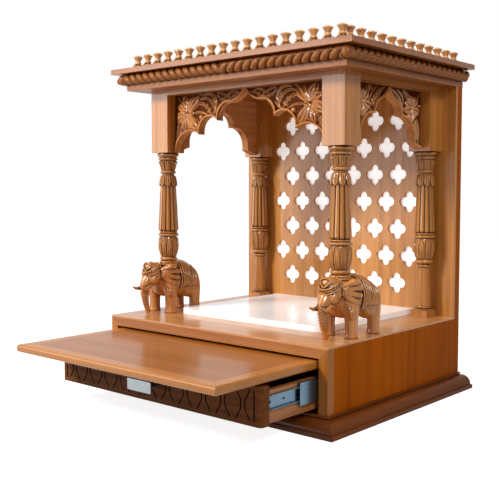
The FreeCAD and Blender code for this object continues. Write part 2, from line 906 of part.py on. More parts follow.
cheek_set = size("cheek_set", 50)
cheek_height = size("cheek_height", 79)
cloth_thickness = size("cloth_thickness", 2)
cloth_hem = size("cloth_hem", 59)
cloth_front = size("cloth_front", 14)
cloth_length = size("cloth_length", 76)
trunk_rings = []
for name, height, forward, radius in (
    ("root", 84, 50, 15),
    ("brow", 68, 57, 13),
    ("bend", 46, 60, 10.8),
    ("curl", 20, 55, 8.8),
    ("tip", 0, 48, 7),
):
    trunk_rings.append((
        size(f"trunk_{name}_height", height),
        size(f"trunk_{name}_forward", forward),
        size(f"trunk_{name}_radius", radius),
    ))


def ellipsoid(name, x, y, z, half_x, half_y, half_z):
    egg = doc.addObject("Part::Ellipsoid", name)
    bind(egg, "Radius1", half_z)
    bind(egg, "Radius2", half_x)
    bind(egg, "Radius3", half_y)
    place(egg, x, y, z)
    return egg


def make_elephants(saddle_z):
    x = pillar_x + elephant_shift
    y = front_pillar_y
    z = platform_z
    top = saddle_z - z
    body_half = (top - belly_height) / 2
    body_y = y + elephant_back_set
    body_z = z + belly_height + body_half
    forms = [
        ellipsoid("elephant_body", x, body_y, body_z, elephant_half_width, elephant_half_length, body_half),
        ellipsoid("elephant_head", x, y - head_set, z + head_height, head_radius, head_radius, head_half_height),
    ]
    draped = ellipsoid(
        "elephant_cloth_drape",
        x,
        body_y,
        body_z,
        elephant_half_width + cloth_thickness,
        elephant_half_length + cloth_thickness,
        body_half + cloth_thickness,
    )
    cloth_x = elephant_half_width + cloth_thickness * 2
    low = (x - cloth_x, y - cloth_front, z + cloth_hem)
    high = (x + cloth_x, y - cloth_front + cloth_length, saddle_z)
    cloth = doc.addObject("Part::Common", "elephant_cloth")
    cloth.Base = draped
    cloth.Tool = block("elephant_cloth_cut", low, high)
    forms.append(cloth)
    saddle = doc.addObject("Part::Cylinder", "elephant_saddle")
    bind(saddle, "Radius", saddle_radius)
    bind(saddle, "Height", saddle_height)
    place(saddle, pillar_x, y, saddle_z - saddle_height)
    forms.append(saddle)
    for side, side_name in ((1, "right"), (-1, "left")):
        for leg_y, leg_name in ((y - fore_leg_set, "fore"), (y + hind_leg_set, "hind")):
            leg = doc.addObject("Part::Cone", f"elephant_{leg_name}_leg_{side_name}")
            bind(leg, "Radius1", leg_radius)
            bind(leg, "Radius2", leg_radius + leg_flare)
            bind(leg, "Height", thigh_height)
            place(leg, x + side * leg_spread, leg_y, z)
            thigh = ellipsoid(
                f"elephant_{leg_name}_thigh_{side_name}",
                x + side * (leg_spread + leg_radius - thigh_half_width),
                leg_y,
                z + thigh_height,
                thigh_half_width,
                thigh_half_length,
                thigh_half_height,
            )
            forms += [leg, thigh]
        ear = ellipsoid(
            f"elephant_ear_{side_name}",
            x + side * (elephant_half_width - ear_half_thickness),
            y - ear_set,
            z + ear_height,
            ear_half_thickness,
            ear_half_length,
            ear_half_height,
        )
        forms.append(ear)
        cheek = ellipsoid(
            f"elephant_cheek_{side_name}",
            x + side * cheek_spread,
            y - cheek_set,
            z + cheek_height,
            cheek_half_width,
            cheek_half_width,
            cheek_half_height,
        )
        forms.append(cheek)
        tusk = doc.addObject("Part::Cone", f"elephant_tusk_{side_name}")
        bind(tusk, "Radius1", tusk_radius)
        bind(tusk, "Radius2", tusk_tip)
        bind(tusk, "Height", tusk_length)
        tusk.Placement = Placement(Vector(0, 0, 0), Rotation(Vector(1, 0, 0), 90))
        place(tusk, x + side * tusk_spread, y - tusk_set, z + tusk_height)
        forms.append(tusk)
    trunk = doc.addObject("Part::Feature", "elephant_trunk")
    rings = []
    for height, forward, radius in trunk_rings:
        centre = Vector(float(x), float(y - forward), float(z + height))
        rings.append(Part.Wire(Part.makeCircle(float(radius), centre, Vector(0, 0, 1))))
    trunk.Shape = Part.makeLoft(rings, True, False)
    forms.append(trunk)
    right = fuse("elephant_right", *forms)
    finished(right, "elephant_right")
    finished(mirror("elephant_left", right), "elephant_left")


# Arches between the posts, cusped like a row of petals, under the top rails.
arch_thickness = size("arch_thickness", 20)
arch_recess = size("arch_recess", 19)
arch_rail_height = size("arch_rail_height", 12)
arch_rim = size("arch_rim", 3.5)
arch_ground = size("arch_ground", 6)
front_foot_width = size("front_foot_width", 5.5)
front_foot_z = platform_z + size("front_foot_z", 372)
front_arch = {}
for name, share, z in (("lower_cusp", 0.627, 410), ("upper_cusp", 0.366, 438), ("ogee", 0.183, 475)):
    reach = (pillar_x - post_side / 2) * size(f"front_{name}_share", share)
    front_arch[name] = (reach, platform_z + size(f"front_{name}_z", z))
front_apex_drop = size("front_apex_drop", 11)
front_lower_foil = size("front_lower_foil", 48)
front_middle_foil = size("front_middle_foil", 33)
front_upper_foil = size("front_upper_foil", 31.5)
front_ogee_curve = size("front_ogee_curve", 62)
side_arch = {}
for name, share, z in (("corner", 0.759, 387), ("cusp", 0.38, 442), ("ogee", 0.234, 472)):
    reach = (back_pillar_y - front_pillar_y - post_side) / 2 * size(f"side_{name}_share", share)
    side_arch[name] = (reach, platform_z + size(f"side_{name}_z", z))
side_arch_foot = size("side_arch_foot", 376)
side_apex_drop = size("side_apex_drop", 15)
side_lower_foil = size("side_lower_foil", 46)
side_upper_foil = size("side_upper_foil", 32)
side_ogee_curve = size("side_ogee_curve", 61)


def rimmed(name, board, edge, rotation, spot, layer):
    """The board with its face cut back to a ground, apart from a rim that follows the cusped edge."""
    line = doc.addObject("Sketcher::SketchObject", name + "_edge")
    line.Placement = Placement(Vector(0, 0, 0), rotation)
    place(line, *spot)
    draw(line, edge, closed=False)
    band = doc.addObject("Part::Offset2D", name + "_band")
    band.Source = line
    band.Mode = "Pipe"
    band.Join = "Arc"
    band.Fill = True
    bind(band, "Value", arch_rim)
    rim = doc.addObject("Part::Extrusion", name + "_rim")
    rim.Base = band
    rim.DirMode = "Normal"
    rim.Symmetric = True
    rim.Solid = True
    bind(rim, "LengthFwd", arch_thickness * 2)
    ground = cut(name + "_ground", layer, rim)
    return cut(name, board, ground)


def make_arches():
    half = post_side / 2
    inner_x = pillar_x - half
    face_y = front_pillar_y - half + arch_recess
    board = new_body("arch_front_board")
    lower, upper, ogee = (front_arch[name] for name in ("lower_cusp", "upper_cusp", "ogee"))
    spring = (inner_x - front_foot_width, front_foot_z)
    edge = [
        spring,
        lower + (front_lower_foil,),
        upper + (front_middle_foil,),
        ogee + (front_upper_foil,),
        (as_size(0), canopy_z - front_apex_drop, -front_ogee_curve),
        (-ogee[0], ogee[1], -front_ogee_curve),
        (-upper[0], upper[1], front_upper_foil),
        (-lower[0], lower[1], front_middle_foil),
        (-spring[0], spring[1], front_lower_foil),
    ]
    path = [(inner_x, canopy_z), (inner_x, spring[1])] + edge + [(-inner_x, spring[1]), (-inner_x, canopy_z)]
    sketch = outline(board, "arch_front_face", "XZ_Plane", path)
    pad(board, "arch_front_blank", sketch, arch_thickness, True)
    place(board, y=face_y + arch_thickness / 2)
    rail_low = canopy_z - arch_rail_height
    upright = Rotation(Vector(1, 0, 0), 90)
    layer = block("arch_front_layer", (-inner_x, face_y, front_foot_z), (inner_x, face_y + arch_ground, rail_low))
    finished(rimmed("arch_front", board, edge, upright, (0, face_y, 0), layer), "arch_front")
    rail = block("top_rail_front", (-inner_x, front_pillar_y - half, rail_low), (inner_x, face_y, canopy_z))
    finished(rail, "top_rail_front")

    near = front_pillar_y + half
    far = back_pillar_y - half
    span = (far - near) / 2
    outer_x = pillar_x + half - arch_recess
    corner, cusp, ogee = (side_arch[name] for name in ("corner", "cusp", "ogee"))
    foot = platform_z + side_arch_foot
    board = new_body("arch_right_board")
    edge = [
        (span, foot),
        corner,
        cusp + (side_lower_foil,),
        ogee + (side_upper_foil,),
        (as_size(0), canopy_z - side_apex_drop, -side_ogee_curve),
        (-ogee[0], ogee[1], -side_ogee_curve),
        (-cusp[0], cusp[1], side_upper_foil),
        (-corner[0], corner[1], side_lower_foil),
        (-span, foot),
    ]
    sketch = outline(board, "arch_right_face", "YZ_Plane", [(span, canopy_z)] + edge + [(-span, canopy_z)])
    pad(board, "arch_right_blank", sketch, arch_thickness, True)
    place(board, outer_x - arch_thickness / 2, (near + far) / 2)
    sideways = Rotation(Vector(1, 1, 1), 120)
    layer = block("arch_right_layer", (outer_x - arch_ground, near, foot), (outer_x, far, rail_low))
    right = rimmed("arch_right", board, edge, sideways, (outer_x, (near + far) / 2, 0), layer)
    finished(right, "arch_right")
    finished(mirror("arch_left", right), "arch_left")
    rail = block("top_rail_right", (outer_x, near, rail_low), (pillar_x + half, far, canopy_z))
    finished(rail, "top_rail_right")
    finished(mirror("top_rail_left", rail), "top_rail_left")


# Cornice and roof: a board, a band of rope moulding on three sides, the roof board and its finials.
cornice_thickness = size("cornice_thickness", 12)
cornice_overhang = size("cornice_overhang", 1)
cornice_set = size("cornice_set", 52)
rope_height = size("rope_height", 25)
rope_reach = size("rope_reach", 19)
rope_seat = size("rope_seat", 1)
roof_thickness = size("roof_thickness", 11)
roof_side_overhang = size("roof_side_overhang", 28)
roof_front_overhang = size("roof_front_overhang", 24)
finial_side_set = size("finial_side_set", 32)
finial_front_set = size("finial_front_set", 16)
finial_front_pitch = size("finial_front_pitch", 32.9)
finial_side_pitch = size("finial_side_pitch", 36.3)
finial_corner_gap = size("finial_corner_gap", 23)
finials_in_front = 18
finials_on_side = 12
finials_lost_on_left = 2
finial_sides = 8
finial_rings = []
for name, height, radius in (
    ("foot", 0, 8),
    ("cove", 4, 5),
    ("ball", 9, 7.5),
    ("neck", 14.5, 5.5),
    ("crown", 22, 9.5),
    ("tip", 27, 3),
):
    finial_rings.append((size(f"finial_{name}_z", height), size(f"finial_{name}_radius", radius)))


def rope_profile(face, outward, low_z):
    """A stilted half round, outward from the core's face."""
    radius = rope_height / 2
    stilt = face + outward * (rope_reach - radius)
    return [
        (face, low_z),
        (stilt, low_z),
        (face + outward * rope_reach, low_z + radius, outward * radius),
        (stilt, low_z + rope_height, outward * radius),
        (face, low_z + rope_height),
    ]


def make_cornice():
    edge_x = side_x + cornice_overhang
    edge_y = front_y + cornice_set
    rope_z = canopy_z + cornice_thickness
    roof_z = rope_z + rope_height
    board = block("cornice_board", (-edge_x, edge_y, canopy_z), (edge_x, back_y, rope_z))
    finished(board, "cornice_board")
    core_x = edge_x - rope_seat
    core_y = edge_y + rope_seat
    core = block("cornice_core", (-core_x, core_y, rope_z), (core_x, back_y, roof_z))
    finished(core, "cornice_core")

    outer_x = core_x + rope_reach
    outer_y = core_y - rope_reach
    front = new_body("rope_front")
    section = outline(front, "rope_front_section", "YZ_Plane", rope_profile(core_y, -1, rope_z))
    pad(front, "rope_front_bar", section, outer_x * 2, True)
    for side, side_name in ((1, "right"), (-1, "left")):
        waste = [(side * core_x, core_y), (side * outer_x, outer_y), (side * outer_x, core_y)]
        mitre = outline(front, "rope_front_mitre_" + side_name, "XY_Plane", waste)
        pocket(front, "rope_front_cut_" + side_name, mitre)
    finished(front, "rope_front")
    middle = (back_y + outer_y) / 2
    right = new_body("rope_right")
    section = outline(right, "rope_right_section", "XZ_Plane", rope_profile(core_x, 1, rope_z))
    pad(right, "rope_right_bar", section, back_y - outer_y, True)
    waste = [(core_x, core_y - middle), (core_x, outer_y - middle), (outer_x, outer_y - middle)]
    mitre = outline(right, "rope_right_mitre", "XY_Plane", waste)
    pocket(right, "rope_right_cut", mitre)
    place(right, y=middle)
    finished(right, "rope_right")
    finished(mirror("rope_left", right), "rope_left")

    roof_x = edge_x + roof_side_overhang
    roof_y = edge_y - roof_front_overhang
    top_z = roof_z + roof_thickness
    roof = block("roof_board", (-roof_x, roof_y, roof_z), (roof_x, back_y, top_z))
    finished(roof, "roof_board")
    return roof_x, roof_y, top_z


def finial():
    """One small turned finial, standing at the origin, with few sides."""
    rings = []
    for height, radius in finial_rings:
        corners = []
        for step in range(finial_sides + 1):
            turn = 2 * math.pi * (step + 0.5) / finial_sides
            corners.append(Vector(float(radius) * math.cos(turn), float(radius) * math.sin(turn), float(height)))
        rings.append(Part.makePolygon(corners))
    return Part.makeLoft(rings, True, True)


def make_finials(roof_x, roof_y, top_z):
    """Rows along the roof's edges; the ones nearest the front left corner are lost."""
    one = finial()
    line_x = float(roof_x - finial_side_set)
    line_y = float(roof_y + finial_front_set)
    rows = {"finials_front": [], "finials_right": [], "finials_left": []}
    for number in range(finials_in_front):
        rows["finials_front"].append((line_x - float(finial_front_pitch) * number, line_y))
    for number in range(finials_on_side):
        y = line_y + float(finial_corner_gap) + float(finial_side_pitch) * number
        rows["finials_right"].append((line_x, y))
        if number >= finials_lost_on_left:
            rows["finials_left"].append((-line_x, y))
    for name, places in rows.items():
        row = doc.addObject("Part::Feature", name)
        copies = []
        for x, y in places:
            copy = one.copy()
            copy.translate(Vector(x, y, float(top_z)))
            copies.append(copy)
        row.Shape = Part.makeCompound(copies)
        finished(row, name)


make_plinth()
make_cabinet()
make_tray()
make_drawer()
make_slides()
make_back()
saddle_height_z = make_pillars()
make_elephants(saddle_height_z)
make_arches()
make_finials(*make_cornice())

doc.recompute()
for item in doc.Objects:
    if "Invalid" in item.State or "Error" in item.State:
        raise RuntimeError(f"{item.Name} did not build")
for piece in pieces:
    if piece.Shape.isNull() or not piece.Shape.isValid():
        raise RuntimeError(f"{piece.Label} has no sound shape")
os.makedirs("parts", exist_ok=True)
for piece in pieces:
    piece.Shape.exportStep(f"parts/{piece.Label}.step")
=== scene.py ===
import math

import bpy
from mathutils import Matrix, Vector


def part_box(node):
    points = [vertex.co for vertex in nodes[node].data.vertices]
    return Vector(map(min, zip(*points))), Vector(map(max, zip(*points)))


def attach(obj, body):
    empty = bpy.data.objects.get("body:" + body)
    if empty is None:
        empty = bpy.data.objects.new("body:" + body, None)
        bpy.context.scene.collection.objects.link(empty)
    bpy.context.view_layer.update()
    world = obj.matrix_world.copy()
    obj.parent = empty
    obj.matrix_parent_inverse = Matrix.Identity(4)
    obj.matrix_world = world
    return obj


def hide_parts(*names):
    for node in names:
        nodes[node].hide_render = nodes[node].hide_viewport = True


# Household shrine in varnished teak. X runs to the right, Y to the back and Z up, in metres.
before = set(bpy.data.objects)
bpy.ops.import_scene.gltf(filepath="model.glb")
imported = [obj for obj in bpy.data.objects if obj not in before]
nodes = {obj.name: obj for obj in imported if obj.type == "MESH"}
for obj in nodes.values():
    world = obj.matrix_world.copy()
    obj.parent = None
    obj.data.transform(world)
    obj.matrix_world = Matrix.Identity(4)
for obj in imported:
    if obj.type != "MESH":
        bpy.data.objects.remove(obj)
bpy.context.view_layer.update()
MM = 0.001


# Studio
# A pale floor in a white surround. The key lamp stands high to the front left and throws the roof's shadow on
# the lattice, one lamp hangs over the roof and a weaker one fills the right side. The last two are only for
# the varnish to mirror: a large one to the front left and a small one to the front right.
def srgb(red, green, blue):
    """A colour read off a screen, from 0 to 255, as the linear colour that a shader takes."""
    channels = []
    for value in (red, green, blue):
        share = value / 255
        channels.append(share / 12.92 if share <= 0.04045 else ((share + 0.055) / 1.055) ** 2.4)
    return (*channels, 1)


def fill(tree, node, inputs):
    """Fills a node's inputs with values or with other nodes' outputs."""
    for name, value in inputs.items():
        if isinstance(value, bpy.types.NodeSocket):
            tree.links.new(value, node.inputs[name])
        else:
            node.inputs[name].default_value = value


def join(tree, kind, inputs=None, **settings):
    """Adds a node, sets it up and fills its inputs."""
    node = tree.nodes.new(kind)
    for name, value in settings.items():
        setattr(node, name, value)
    fill(tree, node, inputs or {})
    return node


def maths(tree, operation, *values, clamp=False):
    """One sum on up to three numbers or outputs."""
    node = join(tree, "ShaderNodeMath", dict(enumerate(values)), operation=operation, use_clamp=clamp)
    return node.outputs[0]


def spread(tree, value, low, high, start=0.0, end=1.0, smooth=False):
    """A value that runs from start to end, spread out from low to high."""
    return join(tree, "ShaderNodeMapRange", {
        "Value": value, "From Min": start, "From Max": end, "To Min": low, "To Max": high,
    }, interpolation_type="SMOOTHSTEP" if smooth else "LINEAR").outputs[0]


def seen_directly(tree):
    """1 for rays from the camera, a mirror or clear material, and 0 for light that falls on the object."""
    path = join(tree, "ShaderNodeLightPath").outputs
    either = maths(tree, "MAXIMUM", path["Is Camera Ray"], path["Is Glossy Ray"])
    return maths(tree, "MAXIMUM", either, path["Is Transmission Ray"])


def blank(name):
    """A new material with its node tree and its surface."""
    material = bpy.data.materials.new(name)
    material.use_nodes = True
    return material, material.node_tree, material.node_tree.nodes["Principled BSDF"]


white = (1, 1, 1, 1)
ambient = 0.15
surround = bpy.data.worlds.new("white_surround")
bpy.context.scene.world = surround
surround.use_nodes = True
tree = surround.node_tree
fill(tree, tree.nodes["Background"], {
    "Color": white, "Strength": spread(tree, seen_directly(tree), ambient, 1.0),
})

floor_size = 14
floor_drop = 0.4 * MM
floor_grey = (0.5, 0.5, 0.5, 1)
floor_glow = 0.88
bpy.ops.object.select_all(action="DESELECT")
bpy.ops.mesh.primitive_plane_add(size=floor_size, location=(0, 0, -floor_drop))
studio_floor = bpy.context.object
studio_floor.name = "studio_floor"
paper, tree, surface = blank("pale_floor")
fill(tree, surface, {
    "Base Color": floor_grey, "Roughness": 0.9, "Specular IOR Level": 0.1, "Emission Color": white,
    "Emission Strength": maths(tree, "MULTIPLY", seen_directly(tree), floor_glow),
})
studio_floor.data.materials.append(paper)

aim = Vector((0, -0.05, 0.35))
for name, place, width, power, mirrored_only in (
    ("lamp_key", (-1.1, -2.2, 1.75), 0.6, 76, False),
    ("lamp_overhead", (0.1, -0.5, 2.7), 2.0, 24, False),
    ("lamp_right", (2.3, -0.6, 2.2), 0.9, 34, False),
    ("lamp_front_left", (-1.9, -2.3, 0.7), 1.3, 36, True),
    ("lamp_behind_camera", (1.75, -2.1, 1.45), 0.7, 60, True),
):
    bpy.ops.object.light_add(type="AREA", location=place)
    lamp = bpy.context.object
    lamp.name = name
    lamp.data.size = width
    lamp.data.energy = power
    lamp.visible_diffuse = not mirrored_only
    lamp.rotation_euler = (aim - Vector(place)).to_track_quat("-Z", "Y").to_euler()

photo_width = 500
focal_length_px = 828.5
camera_place = (1.1808, -1.4626, 0.4450)
camera_tilt = math.radians(90 - 3.5)
camera_turn = math.radians(41.3)
bpy.ops.object.camera_add(location=camera_place, rotation=(camera_tilt, 0, camera_turn))
camera = bpy.context.object
camera.data.sensor_width = 36
camera.data.lens = focal_length_px / photo_width * camera.data.sensor_width
bpy.context.scene.camera = camera
bpy.context.scene.view_settings.view_transform = "Standard"


# Plinth
# Four lengths of moulded teak, mitred at the front corners and stained darker than the box that stands on
# them. The moulding is a flat lip, a quarter round and a small bead under the cabinet.
wave_length = 0.314  # of a wave texture at a scale of 1
pore_depth = 0.25 * MM
worn_edge = 0.8 * MM
hollow_reach = 9 * MM
ground_reach = 0.3 * MM
ground_stain = srgb(84, 40, 12)


def noise(tree, where, scale, detail=3, rough=0.55):
    return join(tree, "ShaderNodeTexNoise", {
        "Vector": where, "Scale": scale, "Detail": detail, "Roughness": rough,
    }).outputs["Fac"]


def drawn_out(tree, where, grain, share, start=(0, 0, 0)):
    """Coordinates that draw a pattern out along the grain."""
    scale = [1.0, 1.0, 1.0]
    scale["XYZ".index(grain)] = share
    return join(tree, "ShaderNodeMapping", {"Vector": where, "Location": start, "Scale": scale}).outputs[0]


def mixed(tree, share, first, second, kind="MIX"):
    """The first colour with a share of the second one laid over it."""
    colours = {"Factor": share, 6: first, 7: second}
    return join(tree, "ShaderNodeMix", colours, data_type="RGBA", blend_type=kind).outputs[2]


def rounded(tree, radius):
    """The normals of a piece whose edges are rubbed down to a small radius."""
    return join(tree, "ShaderNodeBevel", {"Radius": radius}, samples=4).outputs[0]


def figure(tree, where, grain, ring, contrast):
    """How dark the wood is from place to place, between 0 and 1, and its pores."""
    board = drawn_out(tree, where, grain, 0.09, (0.43, 0.37, 0.29))
    threads = drawn_out(tree, where, grain, 0.02)
    rings = join(tree, "ShaderNodeTexWave", {
        "Vector": board, "Scale": wave_length / ring, "Distortion": 4.5, "Detail": 3.0,
        "Detail Scale": 0.22, "Detail Roughness": 0.5,
    }, wave_type="RINGS", rings_direction=grain).outputs["Fac"]
    year = spread(tree, rings, 0, 1, 0.25, 0.95, smooth=True)
    streaks = noise(tree, threads, 110, 3, 0.6)
    flame = noise(tree, board, 9)
    pores = noise(tree, threads, 420, 4, 0.65)
    tone = maths(tree, "MULTIPLY", year, 0.13 * contrast)
    for part, share in ((streaks, 0.88), (flame, 0.88), (pores, 0.72)):
        centred = maths(tree, "SUBTRACT", part, 0.5)
        tone = maths(tree, "MULTIPLY_ADD", centred, share * contrast, tone)
    return maths(tree, "ADD", tone, 0.34, clamp=True), pores


def wood(name, pale, deep, grain, ring=16 * MM, gloss=0.3, shine=0.25, carved=0, contrast=1.0, polish=0.16,
         ground=None):
    """Varnished teak with its grain along one axis. carved is how dark the hollows are: painted shade,
    together with the stain that gathers in them. ground gives the axis and place of a cut back face that is
    stained nearly black."""
    material, tree, surface = blank(name)
    where = join(tree, "ShaderNodeTexCoord").outputs["Object"]
    tone, pores = figure(tree, where, grain, ring, contrast)
    shade = mixed(tree, tone, pale, deep)
    # Painted shade: where the occlusion node finds a hollow the colour darkens, with the stain gathered
    # there.
    if carved:
        reach = {"Distance": hollow_reach}
        hollow = join(tree, "ShaderNodeAmbientOcclusion", reach, samples=8, only_local=True).outputs["AO"]
        hollow_shade = spread(tree, hollow, 1 - carved, 1.0, 0.35, 0.95)
        shade = mixed(tree, 1, shade, hollow_shade, "MULTIPLY")
    if ground:
        axis, face = ground
        depth = join(tree, "ShaderNodeSeparateXYZ", {"Vector": where}).outputs[axis]
        shade = mixed(tree, maths(tree, "COMPARE", depth, face, ground_reach), shade, ground_stain)
    bump = join(tree, "ShaderNodeBump", {
        "Strength": 0.16, "Distance": pore_depth, "Height": pores, "Normal": rounded(tree, worn_edge),
    })
    fill(tree, surface, {
        "Base Color": shade, "Roughness": spread(tree, pores, 0.34, 0.52), "Specular IOR Level": shine,
        "Coat Weight": gloss, "Coat Roughness": polish, "Normal": bump.outputs[0],
    })
    return material


def varnish(material, *names):
    """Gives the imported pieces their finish."""
    for name in names:
        nodes[name].data.materials.clear()
        nodes[name].data.materials.append(material)


dark_pale = srgb(128, 66, 18)
dark_deep = srgb(62, 22, 2)
varnish(wood("dark_teak_across", dark_pale, dark_deep, "X", gloss=0.12, shine=0.1),
        "plinth_front", "plinth_back")
varnish(wood("dark_teak_sides", dark_pale, dark_deep, "Y", gloss=0.05, shine=0.06),
        "plinth_left", "plinth_right")


# Cabinet box
# Two veneered side panels with upright grain, solid stiles and a rail round the opening, and a floor inside.
# The box is glued up on the plinth, with the veneered back board let in between the sides.
panel_pale = srgb(188, 94, 0)
panel_deep = srgb(122, 54, 0)
varnish(wood("panel_veneer", panel_pale, panel_deep, "Z", gloss=0.0, shine=0.02, contrast=0.9),
        "side_panel_left", "side_panel_right", "back_board")
frame_pale = srgb(188, 118, 46)
frame_deep = srgb(122, 60, 12)
varnish(wood("upright_teak", frame_pale, frame_deep, "Z", gloss=0.15, shine=0.1),
        "front_stile_left", "front_stile_right")
varnish(wood("across_teak", frame_pale, frame_deep, "X", gloss=0.3, shine=0.15),
        "front_top_rail", "top_rail_front")
inner_pale = srgb(186, 122, 66)
inner_deep = srgb(112, 62, 28)
inner_wood = wood("inner_wood", inner_pale, inner_deep, "Y", gloss=0.1)
varnish(inner_wood, "cabinet_floor", "tray_runner_left", "tray_runner_right")


# Platform and slab
# The box's polished top carries the shrine. A white polished slab with rounded front corners lies on it,
# against the lattice.
platform_pale = srgb(212, 150, 88)
platform_deep = srgb(152, 90, 38)
varnish(wood("platform_teak", platform_pale, platform_deep, "X", gloss=0.55), "platform_top")

slab_vein = (0.88, 0.86, 0.84, 1)
slab_white = (0.95, 0.94, 0.92, 1)
# Painted light: the slab glows faintly to keep it white.
painted_slab_glow = 0.16
slab_edge = 1.5 * MM
marble, tree, surface = blank("white_slab")
where = join(tree, "ShaderNodeTexCoord").outputs["Object"]
cloud = spread(tree, noise(tree, where, 5, 6, 0.6), 0, 1, 0.42, 0.56)
fill(tree, surface, {
    "Base Color": mixed(tree, cloud, slab_vein, slab_white),
    "Roughness": spread(tree, noise(tree, where, 160), 0.12, 0.22),
    "Emission Color": white, "Emission Strength": painted_slab_glow, "Normal": rounded(tree, slab_edge),
})
varnish(marble, "marble_slab")


# Tray
# A polished board with a rounded nosing on three sides, which slides in grooved battens above the drawer. A
# lipping of paler wood runs round its front and ends, mitred at the corners.
tray_pale = srgb(168, 100, 28)
tray_deep = srgb(108, 54, 6)
lipping = 29 * MM
lipping_tint = srgb(206, 138, 66)
seam = 0.5 * MM
seam_tint = srgb(70, 34, 10)
tray_teak = wood("tray_teak", tray_pale, tray_deep, "X", gloss=0.4, shine=0.12)
tree = tray_teak.node_tree
surface = tree.nodes["Principled BSDF"]
low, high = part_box("tray_board")
where = join(tree, "ShaderNodeTexCoord").outputs["Object"]
spot = join(tree, "ShaderNodeSeparateXYZ", {"Vector": where}).outputs
from_end = maths(tree, "SUBTRACT", high[0], maths(tree, "ABSOLUTE", spot[0]))
from_front = maths(tree, "SUBTRACT", spot[1], low[1])
from_edge = maths(tree, "MINIMUM", from_end, from_front)
on_lipping = maths(tree, "LESS_THAN", from_edge, lipping)
joint = maths(tree, "COMPARE", from_edge, lipping, seam)
mitre = maths(tree, "MULTIPLY", maths(tree, "COMPARE", from_end, from_front, seam), on_lipping)
on_seam = maths(tree, "MAXIMUM", joint, mitre)
shade = surface.inputs["Base Color"].links[0].from_socket
for mask, strength, tint in ((on_lipping, 0.35, lipping_tint), (on_seam, 0.7, seam_tint)):
    shade = mixed(tree, maths(tree, "MULTIPLY", mask, strength), shade, tint)
fill(tree, surface, {"Base Color": shade})
varnish(tray_teak, "tray_board")


# Drawer
# A carved front board, grooved sides that hold the bottom, and a back, glued at the corners. The flat pull is
# brushed steel on two posts, screwed on from behind.
front_pale = srgb(126, 74, 36)
front_deep = srgb(58, 28, 10)
varnish(wood("drawer_front_teak", front_pale, front_deep, "X", gloss=0.02, shine=0.03, carved=0.9),
        "drawer_front")
varnish(inner_wood, "drawer_side_left", "drawer_side_right", "drawer_bottom")
varnish(wood("drawer_back_wood", inner_pale, inner_deep, "X", gloss=0.1), "drawer_back")
scratch_depth = 0.1 * MM
steel_edge = 0.5 * MM
painted_hole_shade = srgb(18, 18, 20)


def steel(name, tint, rough, grain, scratch, holes=None):
    """Bare or plated steel, drawn or brushed along one axis. holes gives the height, pitch and radius of a
    row of round holes along Y, painted on as dark discs of painted shade."""
    material, tree, surface = blank(name)
    where = join(tree, "ShaderNodeTexCoord").outputs["Object"]
    lines = noise(tree, drawn_out(tree, where, grain, 0.02), 900)
    dull = tuple(0.82 * part for part in tint[:3]) + (1,)
    shade = mixed(tree, noise(tree, where, 30), dull, tint)
    # Painted shade: dark discs stand in for the holes.
    if holes:
        height, pitch, radius = holes
        spot = join(tree, "ShaderNodeSeparateXYZ", {"Vector": where}).outputs
        along = maths(tree, "PINGPONG", spot[1], pitch)
        above = maths(tree, "SUBTRACT", spot[2], height)
        middle = join(tree, "ShaderNodeCombineXYZ", {"X": along, "Y": above}).outputs[0]
        reach = join(tree, "ShaderNodeVectorMath", {0: middle}, operation="LENGTH").outputs["Value"]
        shade = mixed(tree, maths(tree, "LESS_THAN", reach, radius), shade, painted_hole_shade)
    bump = join(tree, "ShaderNodeBump", {
        "Strength": scratch, "Distance": scratch_depth, "Height": lines, "Normal": rounded(tree, steel_edge),
    })
    fill(tree, surface, {
        "Base Color": shade, "Metallic": 1, "Roughness": spread(tree, lines, rough * 0.8, rough * 1.3),
        "Normal": bump.outputs[0],
    })
    return material


varnish(steel("pull_steel", srgb(142, 148, 150), 0.36, "X", 0.25), "drawer_pull")


# Slides
# Ball bearing slides in zinc plated steel: an outer channel on the cabinet, a middle one with the ball races,
# and an inner one screwed to the drawer's side through a row of holes.
zinc = srgb(98, 122, 138)
hole_pitch = 19 * MM
hole_radius = 2.6 * MM
varnish(steel("slide_steel", zinc, 0.28, "Y", 0.15), "slide_outer", "slide_middle")
low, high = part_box("slide_inner")
hole_row = ((low[2] + high[2]) / 2, hole_pitch, hole_radius)
varnish(steel("pierced_slide_steel", zinc, 0.28, "Y", 0.15, hole_row), "slide_inner")


# Back and lattice
# A veneered board, pierced with rows of four leaved holes, with a translucent white sheet behind it. The
# sheet is given a painted glow, which keeps it white where it shows through the holes.
lattice_pale = srgb(210, 142, 66)
lattice_deep = srgb(140, 80, 24)
varnish(wood("lattice_veneer", lattice_pale, lattice_deep, "Z", ring=22 * MM, gloss=0.3, shine=0.15),
        "jali_panel")
sheet_shade = (0.90, 0.92, 0.94, 1)
sheet_white = (0.95, 0.96, 0.97, 1)
# Painted light: the sheet's even glow.
painted_sheet_glow = 0.46
white_sheet, tree, surface = blank("white_sheet")
where = join(tree, "ShaderNodeTexCoord").outputs["Object"]
fill(tree, surface, {
    "Base Color": mixed(tree, noise(tree, where, 14, 4), sheet_shade, sheet_white),
    "Roughness": 0.3, "Emission Color": white, "Emission Strength": painted_sheet_glow,
})
varnish(white_sheet, "white_sheet")


# Pillars
# Each is turned from one length of teak, with a square block left at its head. Twelve reeds are carved down
# the shaft, and leaves round the bell, the bulb and the vase. The front two stand on the elephants' saddles,
# and the back two have a plain lower shaft and a square foot. Heights are in mm above the floor.
post_side = 53
post_head = 530.4
post_base_side = 40
post_base_top = 175
pillar_sides = 48
bead_steps = 6


